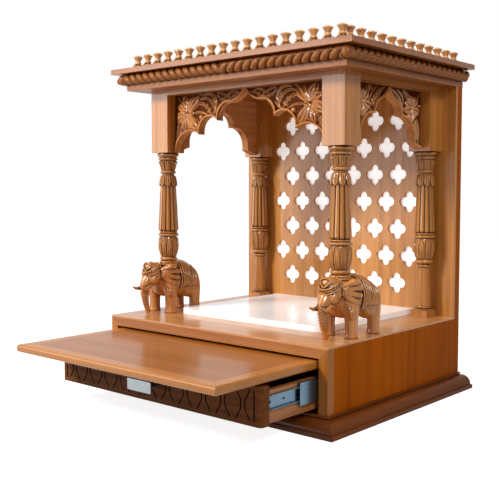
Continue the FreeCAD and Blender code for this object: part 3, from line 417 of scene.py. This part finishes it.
def start(kind, scale=(1, 1, 1), **settings):
    """Adds a primitive with nothing else selected, and puts its place and size into its mesh."""
    bpy.ops.object.select_all(action="DESELECT")
    getattr(bpy.ops.mesh, f"primitive_{kind}_add")(**settings)
    bpy.context.object.scale = scale
    bpy.ops.object.transform_apply(location=True, rotation=True, scale=True)
    return bpy.context.object


def choose(*parts):
    """Selects these parts and nothing else, and works on the first of them."""
    bpy.ops.object.select_all(action="DESELECT")
    for part in parts:
        part.select_set(True)
    bpy.context.view_layer.objects.active = parts[0]


def united(*parts):
    """Joins parts into the first of them."""
    choose(*parts)
    bpy.ops.object.join()
    return parts[0]


def twin(piece, matrix):
    """A copy with its own mesh, moved to its place."""
    copy = piece.copy()
    copy.data = piece.data.copy()
    bpy.context.collection.objects.link(copy)
    copy.data.transform(matrix)
    if matrix.determinant() < 0:
        copy.data.flip_normals()
    return copy


def settle(piece, name, slot, material, *replaced, body="cabinet", crease=40):
    """Names a finished piece, smooths it, and gives it its finish and the body that it rides on."""
    piece.name = name
    piece.data.name = name
    piece.data.materials.clear()
    piece.data.materials.append(material)
    choose(piece)
    bpy.ops.object.shade_smooth_by_angle(angle=math.radians(crease))
    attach(piece, body)
    if replaced:
        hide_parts(*replaced)


def ridges(strokes, smoothness=2):
    """Ridges between the cuts of a gouge. A stroke is a line of points (x, y, z, half width) in mm."""
    curve = bpy.data.curves.new("ridges", "CURVE")
    curve.dimensions = "3D"
    curve.resolution_u = 4
    curve.bevel_depth = MM
    curve.bevel_resolution = smoothness
    curve.use_fill_caps = True
    for stroke in strokes:
        spline = curve.splines.new("NURBS")
        spline.points.add(len(stroke) - 1)
        for point, (x, y, z, half_width) in zip(spline.points, stroke):
            point.co = (x * MM, y * MM, z * MM, 1)
            point.radius = half_width
        spline.order_u = 3
        spline.use_endpoint_u = True
    piece = bpy.data.objects.new("ridges", curve)
    bpy.context.collection.objects.link(piece)
    choose(piece)
    bpy.ops.object.convert(target="MESH")
    return bpy.context.object


def face_outwards(piece):
    choose(piece)
    bpy.ops.object.mode_set(mode="EDIT")
    bpy.ops.mesh.select_all(action="SELECT")
    bpy.ops.mesh.normals_make_consistent(inside=False)
    bpy.ops.object.mode_set(mode="OBJECT")


def turned(rings, sides):
    """A turned piece: a disc drawn up from ring to ring. A ring is (height, radius) in mm."""
    height, radius = rings[0]
    piece = start("circle", vertices=sides, radius=radius * MM, fill_type="NGON",
                  location=(0, 0, height * MM))
    bpy.ops.object.mode_set(mode="EDIT")
    bpy.ops.mesh.select_all(action="SELECT")
    for (low_z, narrow), (high_z, wide) in zip(rings, rings[1:]):
        bpy.ops.mesh.extrude_region_move(TRANSFORM_OT_translate={"value": (0, 0, (high_z - low_z) * MM)})
        scale = wide / narrow
        bpy.ops.transform.resize(value=(scale, scale, 1), center_override=(0, 0, high_z * MM))
    bpy.ops.object.mode_set(mode="OBJECT")
    face_outwards(piece)
    return piece


def bead(low, high, radius):
    """The rings of a half round moulding on a turned piece, with its outer radius given."""
    half = (high - low) / 2
    rings = []
    for step in range(bead_steps + 1):
        angle = math.pi * step / bead_steps
        rings.append((low + half * (1 - math.cos(angle)), radius - half + half * math.sin(angle)))
    return rings


def block(side, low, high):
    """A square block about the pillar's axis."""
    middle = (low + high) / 2
    return start("cube", (side, side, high - low), size=MM, location=(0, 0, middle * MM))


def about_axis(count, stroke, first=0.0):
    """A stroke (degrees off its middle, radius, z, half width), repeated round the pillar's axis."""
    strokes = []
    for number in range(count):
        middle = first + 360 * number / count
        points = []
        for aside, radius, z, wide in stroke:
            angle = math.radians(middle + aside)
            points.append((radius * math.cos(angle), radius * math.sin(angle), z, wide))
        strokes.append(points)
    return strokes


def pillar(foot, head):
    """A pillar about the Z axis. One from the platform up has a base block and a shaft under its vase."""
    cuts = about_axis(12, [
        (0, 13.6, 456, 4.0), (0, 15.2, 420, 4.7), (0, 16.9, 375, 5.2),
        (0, 17.6, 356, 5.4), (0, 17.8, 351.5, 5.3), (0, 17.4, 349.6, 2.8),
    ], 15)
    for aside in (-14, 0, 14):
        bell_leaf = [
            (aside * 0.5, 15.0, 491.5, 1.5), (aside * 0.8, 15.6, 498, 2.2), (aside, 17.7, 505, 2.5),
            (aside * 0.6, 20.6, 510.5, 1.5),
        ]
        bulb_leaf = [
            (aside * 0.8, 15.6, 477.5, 1.6), (aside * 0.95, 17.4, 470, 2.4), (aside, 18.2, 462, 2.6),
            (aside * 0.6, 18.9, 457, 2.4), (aside * 0.3, 18.6, 454.2, 1.7),
        ]
        cuts += about_axis(8, bell_leaf) + about_axis(8, bulb_leaf)
    for aside in (-9.5, 0, 9.5):
        cuts += about_axis(10, [
            (aside, 16.8, 291, 1.7), (aside * 1.1, 19.6, 300, 2.3), (aside, 21.2, 312, 2.5),
            (aside * 0.7, 21.6, 323, 2.3), (aside * 0.1, 21.4, 331, 1.2),
        ])
    cuts += about_axis(10, [(0, 20.2, 316, 1.2), (0, 21.2, 326, 2.1), (0, 21.0, 334, 1.1)], 18)
    rings = [
        *bead(279, 289.5, 20.2), (289.5, 17), (294, 18), (302, 20), (313, 21.4), (323, 21.6), (331, 21),
        (335, 20), (335.2, 19.2), (337, 19.2), *bead(337, 343.5, 24), (343.6, 19.2), *bead(344, 348.6, 21.3),
        (349, 18), (349.5, 16.8), (356, 17), (380, 15.6), (420, 14), (454, 13), (454, 15), (457, 16.4),
        (463, 17.2), (470, 17), (475, 16.2), (478.5, 14.8), (479, 14.2), (482, 14.2), *bead(482, 490, 18.2),
        (490, 15), (494, 15), (500, 16), (506, 17.8), (510, 20), (511.5, 20.8), (512, 19.2), (513.5, 19.2),
        *bead(513.5, 519, 22.8), (519.2, 20.4), (521.5, 20.4), *bead(521.5, 530.5, 25.2),
    ]
    blocks = [block(post_side, post_head, head)]
    if foot < post_base_top:
        lower_shaft = [(174.9, 19), (178, 19), *bead(178, 184, 17.4), (184, 16.6), (270, 13.7)]
        rings = [*lower_shaft, *bead(270, 279, 16), *rings]
        blocks.append(block(post_base_side, foot, post_base_top))
    return united(turned(rings, pillar_sides), ridges(cuts), *blocks)


turned_pale = srgb(206, 134, 56)
turned_deep = srgb(118, 64, 18)
turned_teak = wood("turned_teak", turned_pale, turned_deep, "Z", gloss=0.5, shine=0.12, carved=0.9,
                   polish=0.1)
for row in ("front", "back"):
    low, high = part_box(f"pillar_{row}_right")
    turning = pillar(low[2] / MM, high[2] / MM)
    for side in ("left", "right"):
        plain = f"pillar_{row}_{side}"
        low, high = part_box(plain)
        axis = Matrix.Translation(((low[0] + high[0]) / 2, (low[1] + high[1]) / 2, 0))
        settle(twin(turning, axis), "carved_" + plain, "turned_teak", turned_teak, plain)
    bpy.data.objects.remove(turning)


# Elephants
# Carved in the round from one block each, standing on the platform with a draped cloth, a pointed head cloth
# and tusks. A pad on the back carries the pillar. Points are in mm: across from the elephant's middle, back
# from the pillar's axis and up from the platform.
carved_pale = srgb(216, 138, 54)
carved_deep = srgb(124, 64, 14)
carved_teak = wood("carved_teak", carved_pale, carved_deep, "Z", gloss=0.7, shine=0.15, carved=0.95,
                   contrast=0.9, polish=0.08)
BODY = (0, 25, 78, 38, 56, 42)
HEAD = (0, -40, 92, 24, 24, 27)
HAUNCH = (16, 54, 66, 26, 29, 36)
leg_spread = 27
leg_rows = (-12, 66)
foot_radius = 12.6
cloth_lift = 2.2
cloth_front = 12
cloth_back = 66
cloth_hem = 54
pad_x = -8.5
pad_sides = 48
pad_pearls = 20


def egg(x, y, z, wide, long, tall):
    """An egg shape with its middle and its half sizes in mm."""
    return start("uv_sphere", (wide, long, tall), segments=40, ring_count=24, radius=MM,
                 location=(x * MM, y * MM, z * MM))


def on_egg(shape, y, z, side, proud=0.0):
    """The point of an egg shape's flank at a given place along and up it."""
    middle_x, middle_y, middle_z, wide, long, tall = shape
    rest = 1 - ((y - middle_y) / (long + proud)) ** 2 - ((z - middle_z) / (tall + proud)) ** 2
    return (side * (middle_x + (wide + proud) * math.sqrt(max(rest, 0))), y, z)


def flank(y, z, side, proud):
    """The outermost point of the body and the haunch at a given place along and up them."""
    points = [on_egg(shape, y, z, side, proud) for shape in (BODY, HAUNCH)]
    return max(points, key=lambda point: abs(point[0]))


def on_head(bearing, z, side, proud):
    """A point of the head, so many degrees round from its front."""
    middle_y, middle_z, wide, long, tall = HEAD[1:]
    share = math.sqrt(max(1 - ((z - middle_z) / (tall + proud)) ** 2, 0))
    angle = math.radians(bearing)
    x = (wide + proud) * share * math.sin(angle)
    return (side * x, middle_y - (long + proud) * share * math.cos(angle), z)


def on_head_cloth(bearing, z, side):
    """A point of the head cloth's edge, which rises to the back and stands off the brow in front."""
    rise = 20 * (bearing / 100) ** 1.4
    return on_head(bearing, z + rise, side, 1.2 + 4 * max(1 - bearing / 45, 0))


def pearl(x, y, z, radius):
    return start("ico_sphere", subdivisions=2, radius=radius * MM, location=(x * MM, y * MM, z * MM))


def rough_elephant():
    """The block with its trunk, legs and ears shaped and sanded, before the fine cuts."""
    forms = [
        egg(*BODY),
        egg(*HEAD),
        egg(0, -8, 74, 33, 30, 38),
        egg(0, -50, 108, 15, 13, 12),
    ]
    limbs = [[
        (0, -52, 90, 15), (0, -64, 76, 13), (0, -67.5, 58, 10.8), (0, -67, 38, 8.4),
        (0, -63, 20, 6.6), (0, -59, 8, 6), (0, -57, 2, 5.4),
    ]]
    for side in (1, -1):
        for y in leg_rows:
            x = side * leg_spread
            limbs.append([
                (x, y, 0.2, 14.2), (x, y, 3, 14), (x, y, 9, foot_radius), (x, y, 28, 12.8), (x, y, 44, 14.5),
                (side * 25, y - 1, 64, 17), (side * 18, y - 2, 80, 18),
            ])
        forms += [
            egg(side * 11, -52, 80, 12.5, 11, 14),
            egg(side * HAUNCH[0], *HAUNCH[1:]),
            egg(side * 33, -16, 49, 9, 11, 15),
            egg(side * 29, -18, 90, 7, 20, 19),
        ]
    rough = united(ridges(limbs, 6), *forms)
    remesh = rough.modifiers.new("one_block", "REMESH")
    remesh.mode = "VOXEL"
    remesh.voxel_size = 1.3 * MM
    soften = rough.modifiers.new("sanded", "SMOOTH")
    soften.factor = 0.5
    soften.iterations = 4
    bpy.ops.object.modifier_apply(modifier="one_block")
    bpy.ops.object.modifier_apply(modifier="sanded")
    return rough


def saw(piece, place, away):
    """Saws a piece off at a plane and closes the cut."""
    choose(piece)
    bpy.ops.object.mode_set(mode="EDIT")
    bpy.ops.mesh.select_all(action="SELECT")
    bpy.ops.mesh.bisect(plane_co=place, plane_no=away, use_fill=True, clear_outer=True)
    bpy.ops.object.mode_set(mode="OBJECT")


def saddle_cloth():
    """A cloth over the back and the haunches, straight at its front, its back and its hem."""
    drapes = []
    for (x, y, z, *halves), side in ((BODY, 1), (HAUNCH, 1), (HAUNCH, -1)):
        drapes.append(egg(side * x, y, z, *(half + cloth_lift for half in halves)))
    cloth = united(*drapes)
    saw(cloth, (0, 0, cloth_hem * MM), (0, 0, -1))
    saw(cloth, (0, cloth_front * MM, 0), (0, -1, 0))
    saw(cloth, (0, cloth_back * MM, 0), (0, 1, 0))
    return cloth


def cloth_cuts(side):
    """The cloth's hem with its pearls, the double band at its front and its upright folds."""
    cuts = [[(*flank(y, 55.5, side, 2.4), 1.8) for y in range(cloth_front, cloth_back + 1, 6)]]
    pearls = [pearl(*flank(y, 60.5, side, 2.6), 1.7) for y in range(16, cloth_back, 5)]
    for y in (14, 20):
        cuts.append([(*flank(y, z, side, 2.6), 2.3) for z in (55, 66, 78, 90, 101, 110, 115)])
    fold = ((65, 1.4), (69, 2.6), (80, 3.1), (91, 2.8), (100, 1.8), (106, 0.8))
    for y in range(28, cloth_back, 7):
        cuts.append([(*flank(y, z, side, cloth_lift - 0.4), wide) for z, wide in fold])
    return cuts, pearls


def head_cuts(side):
    """The head cloth's two bands with pearls between them, the jewel on the brow, the eye and the tusk."""
    cuts = []
    for z in (86, 95.5):
        cuts.append([(*on_head_cloth(bearing, z, side), 2.1) for bearing in range(0, 116, 12)])
    pearls = [pearl(*on_head_cloth(bearing, 90.8, side), 2.3) for bearing in range(4, 112, 10)]
    jewel = [
        (0, -61, 118.5, 1.5), (side * 8, -60, 117, 1.7), (side * 13, -58.5, 112, 1.7),
        (side * 8, -63.5, 105, 1.6), (0, -66, 99.5, 1.5),
    ]
    eyelid = [(side * 15, -58.5, 79, 0.9), (side * 17.6, -56, 82, 1.1), (side * 20, -53, 79.5, 0.9)]
    pearls.append(pearl(side * 17.5, -55.5, 79.5, 2.0))
    tusk = [
        (side * 10, -56, 68, 5.6), (side * 13, -68, 60, 4.6), (side * 14, -80, 59, 3.6),
        (side * 14.5, -89, 63, 2.2), (side * 14.5, -91, 64.5, 1.0),
    ]
    return cuts + [jewel, eyelid, tusk], pearls


def ear_cuts(side):
    """Four folds that fan out from the ear's root."""
    cuts = []
    for tip_y, tip_z in ((-4, 108), (9, 96), (8, 82), (-3, 70)):
        drop = tip_z - 91
        cuts.append([
            (side * 23, -38, 96 + drop * 0.3, 4), (side * 30, -26, 94 + drop * 0.7, 6),
            (side * 35, tip_y - 14, tip_z + 2, 7.2), (side * 37, tip_y - 4, tip_z, 6.6),
            (side * 37, tip_y + 1, tip_z - 1, 3),
        ])
    return cuts


def leg_cuts(side):
    """Three leaves over the top of the front leg, and three toes on each foot."""
    cuts = []
    for aside in (-6, 0, 6):
        cuts.append([
            (side * (36 + aside * 0.5), -22 + aside, 61, 1.2),
            (side * (40 + aside * 0.4), -22 + aside, 52, 2.4),
            (side * (38 + aside * 0.4), -21 + aside * 0.6, 40, 1.6),
            (side * 36, -20, 34, 0.7),
        ])
    for leg_y in leg_rows:
        for toe in (-40, 0, 40):
            angle = math.radians(toe) - math.pi / 2
            x = side * leg_spread + foot_radius * math.cos(angle)
            y = leg_y + foot_radius * math.sin(angle)
            cuts.append([(x, y, z, 1.9 - z * 0.18) for z in (1.5, 3, 5)])
    return cuts


def trunk_cuts():
    """Nine folds across the front of the trunk."""
    cuts = []
    for y, z, radius in (
        (-66.3, 68, 12.3), (-67.2, 62, 11.6), (-67.6, 56, 10.9), (-67.6, 50, 10.2), (-67.4, 44, 9.5),
        (-67, 38, 8.8), (-66, 32, 8.2), (-64.7, 26, 7.6), (-63, 20, 7.1),
    ):
        angles = [math.radians(bearing) for bearing in range(-200, 21, 20)]
        cuts.append([(radius * math.cos(angle), y + radius * math.sin(angle), z, 1.1) for angle in angles])
    return cuts


def saddle_pad():
    """The turned pad under the pillar: a drum with two round mouldings and a ring of pearls."""
    parts = [
        start("torus", major_radius=19.5 * MM, minor_radius=2.6 * MM, major_segments=pad_sides,
              minor_segments=10, location=(pad_x * MM, 0, 117.3 * MM)),
        start("torus", major_radius=21 * MM, minor_radius=2.4 * MM, major_segments=pad_sides,
              minor_segments=10, location=(pad_x * MM, 0, 112 * MM)),
        start("cylinder", vertices=pad_sides, radius=21.5 * MM, depth=18 * MM,
              location=(pad_x * MM, 0, 109 * MM)),
    ]
    for number in range(pad_pearls):
        angle = 2 * math.pi * number / pad_pearls
        parts.append(pearl(pad_x + 23.4 * math.cos(angle), 23.4 * math.sin(angle), 107, 1.9))
    return parts


def elephant():
    rough = rough_elephant()
    cloth = saddle_cloth()
    tail = [(0, 80, 104, 3), (2, 85, 88, 2.6), (5, 84, 66, 2.4), (6, 80, 52, 3.4), (6, 79, 44, 1)]
    cuts = trunk_cuts() + [tail]
    pearls = []
    for side in (1, -1):
        cuts += ear_cuts(side) + leg_cuts(side)
        for strokes, beads in (cloth_cuts(side), head_cuts(side)):
            cuts += strokes
            pearls += beads
    return united(rough, cloth, ridges(cuts), *saddle_pad(), *pearls)


herd = elephant()
for name, side in (("right", 1), ("left", -1)):
    low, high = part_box("elephant_" + name)
    pillar_low, pillar_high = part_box("pillar_front_" + name)
    stand = ((low[0] + high[0]) / 2, (pillar_low[1] + pillar_high[1]) / 2, low[2])
    beast = twin(herd, Matrix.Translation(stand) @ Matrix.Diagonal((side, 1, 1, 1)))
    settle(beast, "carved_elephant_" + name, "carved_teak", carved_teak, "elephant_" + name, crease=60)
bpy.data.objects.remove(herd)


# Arches
# Boards between the posts with a cusped lower edge. Their ground is cut back behind a plain rim, and flowers
# and scrolling leaves stand on it. Their points are in mm: out from the arch's middle and up from the floor.
ground_depth = 6 * MM
leaf_relief = 1.6


def leaf(root_point, tip_point, bulge, wide):
    """A pointed leaf: two ridges side by side from root to tip, with a groove between them."""
    root = Vector(root_point)
    tip = Vector(tip_point)
    along = tip - root
    across = Vector((-along.y, along.x)).normalized()
    middle = root + along * 0.5 + across * bulge
    two = []
    for side in (-1, 1):
        foot = root + across * (side * wide * 0.22)
        belly = middle + across * (side * wide * 0.5)
        shoulder = root + along * 0.8 + across * (bulge * 0.55 + side * wide * 0.32)
        two.append([(*foot, wide * 0.3), (*belly, wide * 0.55), (*shoulder, wide * 0.4), (*tip, wide * 0.1)])
    return two


def spray(stem, wide, lobes, reach):
    """A stem with pointed lobes on both sides, shorter towards its tip."""
    cuts = [[(u, v, wide * (1 - 0.5 * number / (len(stem) - 1))) for number, (u, v) in enumerate(stem)]]
    points = [Vector(point) for point in stem]
    for number in range(lobes):
        share = (number + 0.6) / lobes * (len(points) - 1)
        first = min(int(share), len(points) - 2)
        here = points[first].lerp(points[first + 1], share - first)
        ahead = (points[first + 1] - points[first]).normalized()
        long = reach * (1 - 0.45 * number / lobes)
        for side in (-1, 1):
            across = Vector((-ahead.y, ahead.x)) * side
            tip = here + ahead * long * 0.75 + across * long * 0.62
            cuts += leaf(here, tip, side * long * 0.16, long * 0.24)
    return cuts


def scroll(points, wide):
    """A long curling leaf: two ridges with a hollow between them, which run together at both ends."""
    path = [Vector(point) for point in points]
    two = []
    for aside in (-1, 1):
        stroke = []
        for number, here in enumerate(path):
            ahead = path[min(number + 1, len(path) - 1)] - path[max(number - 1, 0)]
            across = Vector((-ahead.y, ahead.x)).normalized()
            swell = wide * (0.35 + 0.65 * math.sin(math.pi * number / (len(path) - 1)))
            spot = here + across * (aside * swell * 0.5)
            stroke.append((spot.x, spot.y, swell * 0.46))
        two.append(stroke)
    return two


def carve_on(cuts, face):
    """Lays flat strokes (across, up, half width) on a face, with leaf_relief of height to half width."""
    flat = ridges([[(u, 0, v, wide) for u, v, wide in stroke] for stroke in cuts])
    flat.data.transform(face @ Matrix.Diagonal((1, leaf_relief, 1, 1)))
    return flat


def flower(centre, tips, wide):
    """Leaves from a centre to each tip, wider where they are long."""
    cuts = []
    for tip in tips:
        length = math.dist(centre, tip)
        root = (centre[0] + (tip[0] - centre[0]) * 0.14, centre[1] + (tip[1] - centre[1]) * 0.14)
        cuts += leaf(root, tip, 0.06 * length, wide * (0.55 + 0.45 * length / 40))
    return cuts


def petal_tips(centre, count, first, short, long):
    """Tips evenly round a centre from a first angle on, in turn a short and a long way out."""
    tips = []
    for number in range(count):
        angle = math.radians(first + 360 * number / count)
        reach = long if number % 2 else short
        tips.append((centre[0] + reach * math.cos(angle), centre[1] + reach * math.sin(angle)))
    return tips


def front_spandrel():
    """The strokes of the front arch's right half, and its round bosses (across, up, radius)."""
    centre = (174, 618)
    cuts = flower(centre, (
        (184, 656), (193, 646), (205, 636), (198, 626), (209, 608), (206, 597), (192, 588), (184, 578),
        (171, 581), (154, 580), (140, 580), (140, 654), (156, 654), (167, 648),
    ), 11)
    cuts += flower(centre, petal_tips(centre, 9, 20, 19, 19), 10)
    for points, wide in (
        (((166, 622), (152, 634), (135, 639), (118, 633), (108, 620), (101, 611)), 4.0),
        (((164, 617), (148, 619), (126, 617), (108, 609)), 3.2),
        (((154, 637), (137, 647), (118, 650), (103, 643), (94, 630), (89, 619), (97, 612)), 4.0),
        (((127, 655), (111, 658), (96, 654), (87, 643), (86, 631), (93, 621)), 4.2),
        (((116, 650), (101, 648), (94, 637)), 2.6),
        (((103, 610), (90, 615), (80, 627)), 3.6),
        (((4, 650), (12, 653), (26, 651), (39, 644), (52, 637), (65, 638), (78, 646), (84, 655)), 3.4),
        (((22, 655), (36, 658), (47, 654), (58, 646), (72, 643)), 2.8),
        (((44, 646), (60, 651), (73, 656), (84, 657)), 2.6),
        (((57, 634), (66, 628), (74, 618), (81, 607)), 2.6),
        (((178, 632), (186, 641), (191, 648), (190, 655), (184, 657)), 2.6),
        (((188, 605), (195, 593), (199, 580), (205, 565), (210, 553)), 4.0),
        (((203, 612), (207, 590), (211, 572), (213, 558)), 3.0),
        (((108, 608), (121, 616), (133, 618)), 2.6),
        (((149, 605), (142, 592), (134, 583)), 4.4),
        (((140, 604), (128, 599), (118, 603)), 2.8),
        (((198, 641), (203, 650), (208, 656)), 3.0),
        (((150, 650), (140, 657), (130, 657)), 2.4),
    ):
        cuts += scroll(points, wide)
    cuts += spray([(12, 653), (39, 645), (65, 638), (84, 652)], 1.4, 6, 9)
    cuts += spray([(101, 612), (118, 632), (142, 641)], 1.4, 4, 10)
    cuts += spray([(98, 655), (88, 640), (92, 624)], 1.2, 3, 10)
    cuts += spray([(186, 604), (198, 580), (208, 556)], 1.4, 5, 11)
    return cuts, [(175, 624, 5.4), (174, 613, 5.0), (131, 607, 5.2), (6, 656, 2.6)]


def side_spandrel():
    """The strokes of one half of a side arch, and its round bosses."""
    centre = (96, 622)
    cuts = flower(centre, petal_tips(centre, 10, 12, 27, 32), 11)
    cuts += flower(centre, petal_tips(centre, 6, 0, 16, 16), 9)
    for points, wide in (
        (((72, 612), (62, 618), (54, 628), (46, 640), (34, 648), (20, 655), (8, 657)), 3.6),
        (((66, 630), (60, 642), (50, 651), (38, 657)), 3.4),
        (((78, 646), (70, 654), (60, 657)), 3.2),
        (((76, 600), (66, 606), (57, 610)), 3.4),
        (((108, 600), (114, 586), (119, 571), (124, 556), (129, 544)), 4.0),
        (((120, 600), (126, 586), (129, 570), (130, 556)), 3.2),
        (((122, 640), (127, 648), (130, 656)), 3.2),
        (((96, 590), (92, 584), (84, 590)), 3.2),
        (((50, 626), (42, 632), (32, 638), (22, 646)), 2.4),
    ):
        cuts += scroll(points, wide)
    cuts += spray([(60, 616), (50, 630), (38, 642), (24, 650)], 2.4, 5, 12)
    cuts += spray([(112, 596), (118, 578), (124, 560)], 2.4, 4, 12)
    cuts += spray([(84, 640), (74, 650), (62, 654)], 2.2, 3, 11)
    return cuts, [(96, 622, 5.2), (126, 628, 3.6), (74, 622, 3.4)]


def foliage(spandrel, face):
    """The carving of a whole arch: one spandrel and its mirror image, with the round bosses."""
    cuts, bosses = spandrel()
    other = [[(-u, v, wide) for u, v, wide in stroke] for stroke in cuts]
    parts = [carve_on(cuts + other, face)]
    for u, v, radius in bosses:
        for side in (1, -1):
            boss = start("uv_sphere", segments=16, ring_count=10, radius=radius * MM,
                         location=(side * u * MM, -2.4 * MM, v * MM))
            boss.data.transform(face)
            parts.append(boss)
    return united(*parts)


leaf_pale = srgb(240, 160, 80)
leaf_deep = srgb(150, 82, 28)
leaf_teak = wood("leaf_teak", leaf_pale, leaf_deep, "Z", gloss=0.8, shine=0.2, carved=0.85, contrast=0.8,
                 polish=0.1)
# Paler than the other teak: partly the rim's own tone, partly a painted highlight for its missing sheen.
rim_pale_and_sheen = srgb(216, 150, 96)
rim_deep_and_sheen = srgb(160, 96, 48)


def arch_teak(name, grain, ground):
    """The board's finish, its colour partly a painted highlight, with its cut back ground stained."""
    return wood(name, rim_pale_and_sheen, rim_deep_and_sheen, grain, gloss=0.0, shine=0.02, carved=0.6, ground=ground)


low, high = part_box("arch_front")
ground_y = low[1] + ground_depth
varnish(arch_teak("front_arch_teak", "X", (1, ground_y)), "arch_front")
settle(foliage(front_spandrel, Matrix.Translation((0, ground_y, 0))), "arch_front_foliage", "carved_teak",
       leaf_teak, crease=60)
for name, side in (("right", 1), ("left", -1)):
    low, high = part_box("arch_" + name)
    outer = high[0] if side > 0 else low[0]
    middle = (low[1] + high[1]) / 2
    ground_x = outer - side * ground_depth
    varnish(arch_teak(f"{name}_arch_teak", "Y", (0, ground_x)), "arch_" + name)
    face = Matrix.Translation((ground_x, middle, 0)) @ Matrix.Rotation(side * math.pi / 2, 4, "Z")
    settle(foliage(side_spandrel, face), f"arch_{name}_foliage", "carved_teak", leaf_teak, crease=60)


# Cornice and roof
# Boards in three layers under the roof, with a rope moulding fixed to the edge of the middle one and mitred
# at the front corners. The rope is laid up the other way past the middle of the front.
varnish(wood("side_teak", frame_pale, frame_deep, "Y", gloss=0.1, shine=0.1),
        "top_rail_left", "top_rail_right")
cornice_pale = srgb(164, 96, 36)
cornice_deep = srgb(88, 42, 8)


def rope_teak(name, grain):
    return wood(name, cornice_pale, cornice_deep, grain, gloss=0.2, shine=0.1, carved=0.9, contrast=0.7)


cornice_teak = rope_teak("cornice_teak", "X")
cornice_side_teak = rope_teak("cornice_side_teak", "Y")
varnish(cornice_teak, "cornice_board", "cornice_core")
varnish(wood("roof_teak", cornice_pale, cornice_deep, "X", gloss=0.45, shine=0.15), "roof_board")
strands = 2
strand_pitch = 21.5 * MM
strand_sides = 14
lay = strands * strand_pitch
steps_in_lay = 28
groove = 0.42
strand_fullness = 0.55


def rope(radius, length, hand):
    """A rope of two fat strands along X, twisted one way or the other, from x = 0 on."""
    piece = start("circle", vertices=strands * strand_sides, radius=radius, fill_type="NOTHING",
                  rotation=(0, math.pi / 2, 0))
    for vertex in piece.data.vertices:
        across = math.atan2(vertex.co.z, vertex.co.y) * strands / 2
        vertex.co *= 1 - groove * (1 - abs(math.sin(across)) ** strand_fullness)
    bpy.ops.object.mode_set(mode="EDIT")
    bpy.ops.mesh.select_all(action="SELECT")
    step = lay / steps_in_lay
    for number in range(math.ceil(length / step) + 1):
        bpy.ops.mesh.extrude_region_move(TRANSFORM_OT_translate={"value": (step, 0, 0)})
        bpy.ops.transform.rotate(value=hand * 2 * math.pi / steps_in_lay, orient_axis="X",
                                 center_override=((number + 1) * step, 0, 0))
    bpy.ops.object.mode_set(mode="OBJECT")
    return piece


mirror_x = Matrix.Diagonal((-1, 1, 1, 1))
low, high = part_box("rope_front")
rope_radius = (high[2] - low[2]) / 2
line_y = low[1] + rope_radius
line_z = (low[2] + high[2]) / 2
corner = Vector((high[0] - rope_radius, line_y, line_z))
half = rope(rope_radius, high[0] + rope_radius, 1)
half.data.transform(Matrix.Translation((0, line_y, line_z)))
saw(half, (0, 0, 0), (-1, 0, 0))
saw(half, corner, (1, -1, 0))
face_outwards(half)
ball = start("uv_sphere", segments=20, ring_count=12, radius=rope_radius * 0.98, location=corner)
front_rope = united(half, twin(half, mirror_x), ball, twin(ball, mirror_x))
settle(front_rope, "rope_moulding_front", "cornice_teak", cornice_teak, "rope_front", crease=60)

back_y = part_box("rope_right")[1][1]
strand = rope(rope_radius, back_y - line_y + rope_radius, 1)
turn_back = Matrix.Rotation(math.pi / 2, 4, "Z")
strand.data.transform(Matrix.Translation(corner - Vector((0, rope_radius, 0))) @ turn_back)
saw(strand, corner, (-1, -1, 0))
saw(strand, (0, back_y, 0), (0, 1, 0))
face_outwards(strand)
mate = twin(strand, mirror_x)
settle(strand, "rope_moulding_right", "cornice_teak", cornice_side_teak, "rope_right", crease=60)
settle(mate, "rope_moulding_left", "cornice_teak", cornice_side_teak, "rope_left", crease=60)


# Finials
# Small turned teak finials, pegged into the roof board in one row at the front and one on each side. Each has
# eight petals and four feet cut into it. Three are lost at the front left corner.
finial_sides = 16


def finial():
    body = turned([
        (0, 10.4), (1.2, 10.8), (2.6, 8.6), (4.4, 6.2), (5.4, 5.8), (6.4, 6.8), (8.4, 7.6), (10.4, 7.2),
        (12, 5.8), (13.6, 5.4), (16, 6.0), (18.6, 7.2), (20.8, 8.8), (22.4, 10.2), (23.2, 10.0), (24.2, 8.0),
        (25.8, 6.2), (26.7, 3.6), (27, 0.8),
    ], finial_sides)
    petals = about_axis(8, [(0, 4.6, 14, 1.6), (0, 5.6, 18, 1.9), (0, 7.9, 21.5, 1.7), (0, 10.9, 24.0, 0.5)])
    feet = about_axis(4, [(0, 5.2, 8.0, 1.0), (0, 9.4, 6.6, 1.5), (0, 12.6, 3.4, 1.5), (0, 15.2, 1.0, 0.9)])
    return united(body, ridges(petals + feet, 1))


finial_pale = srgb(226, 164, 96)
finial_deep = srgb(150, 92, 40)
finial_teak = wood("finial_teak", finial_pale, finial_deep, "Z", gloss=0.6, shine=0.2, carved=0.85,
                   polish=0.1)
peg = finial()
for name, count in (("front", 18), ("right", 12), ("left", 10)):
    low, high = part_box("finials_" + name)
    radius = min(high[0] - low[0], high[1] - low[1]) / 2
    first = Vector((low[0] + radius, low[1] + radius, low[2]))
    last = Vector((high[0] - radius, high[1] - radius, low[2]))
    places = [first.lerp(last, number / (count - 1)) for number in range(count)]
    row = united(*(twin(peg, Matrix.Translation(place)) for place in places))
    settle(row, "finial_row_" + name, "cornice_teak", finial_teak, "finials_" + name, crease=60)
bpy.data.objects.remove(peg)
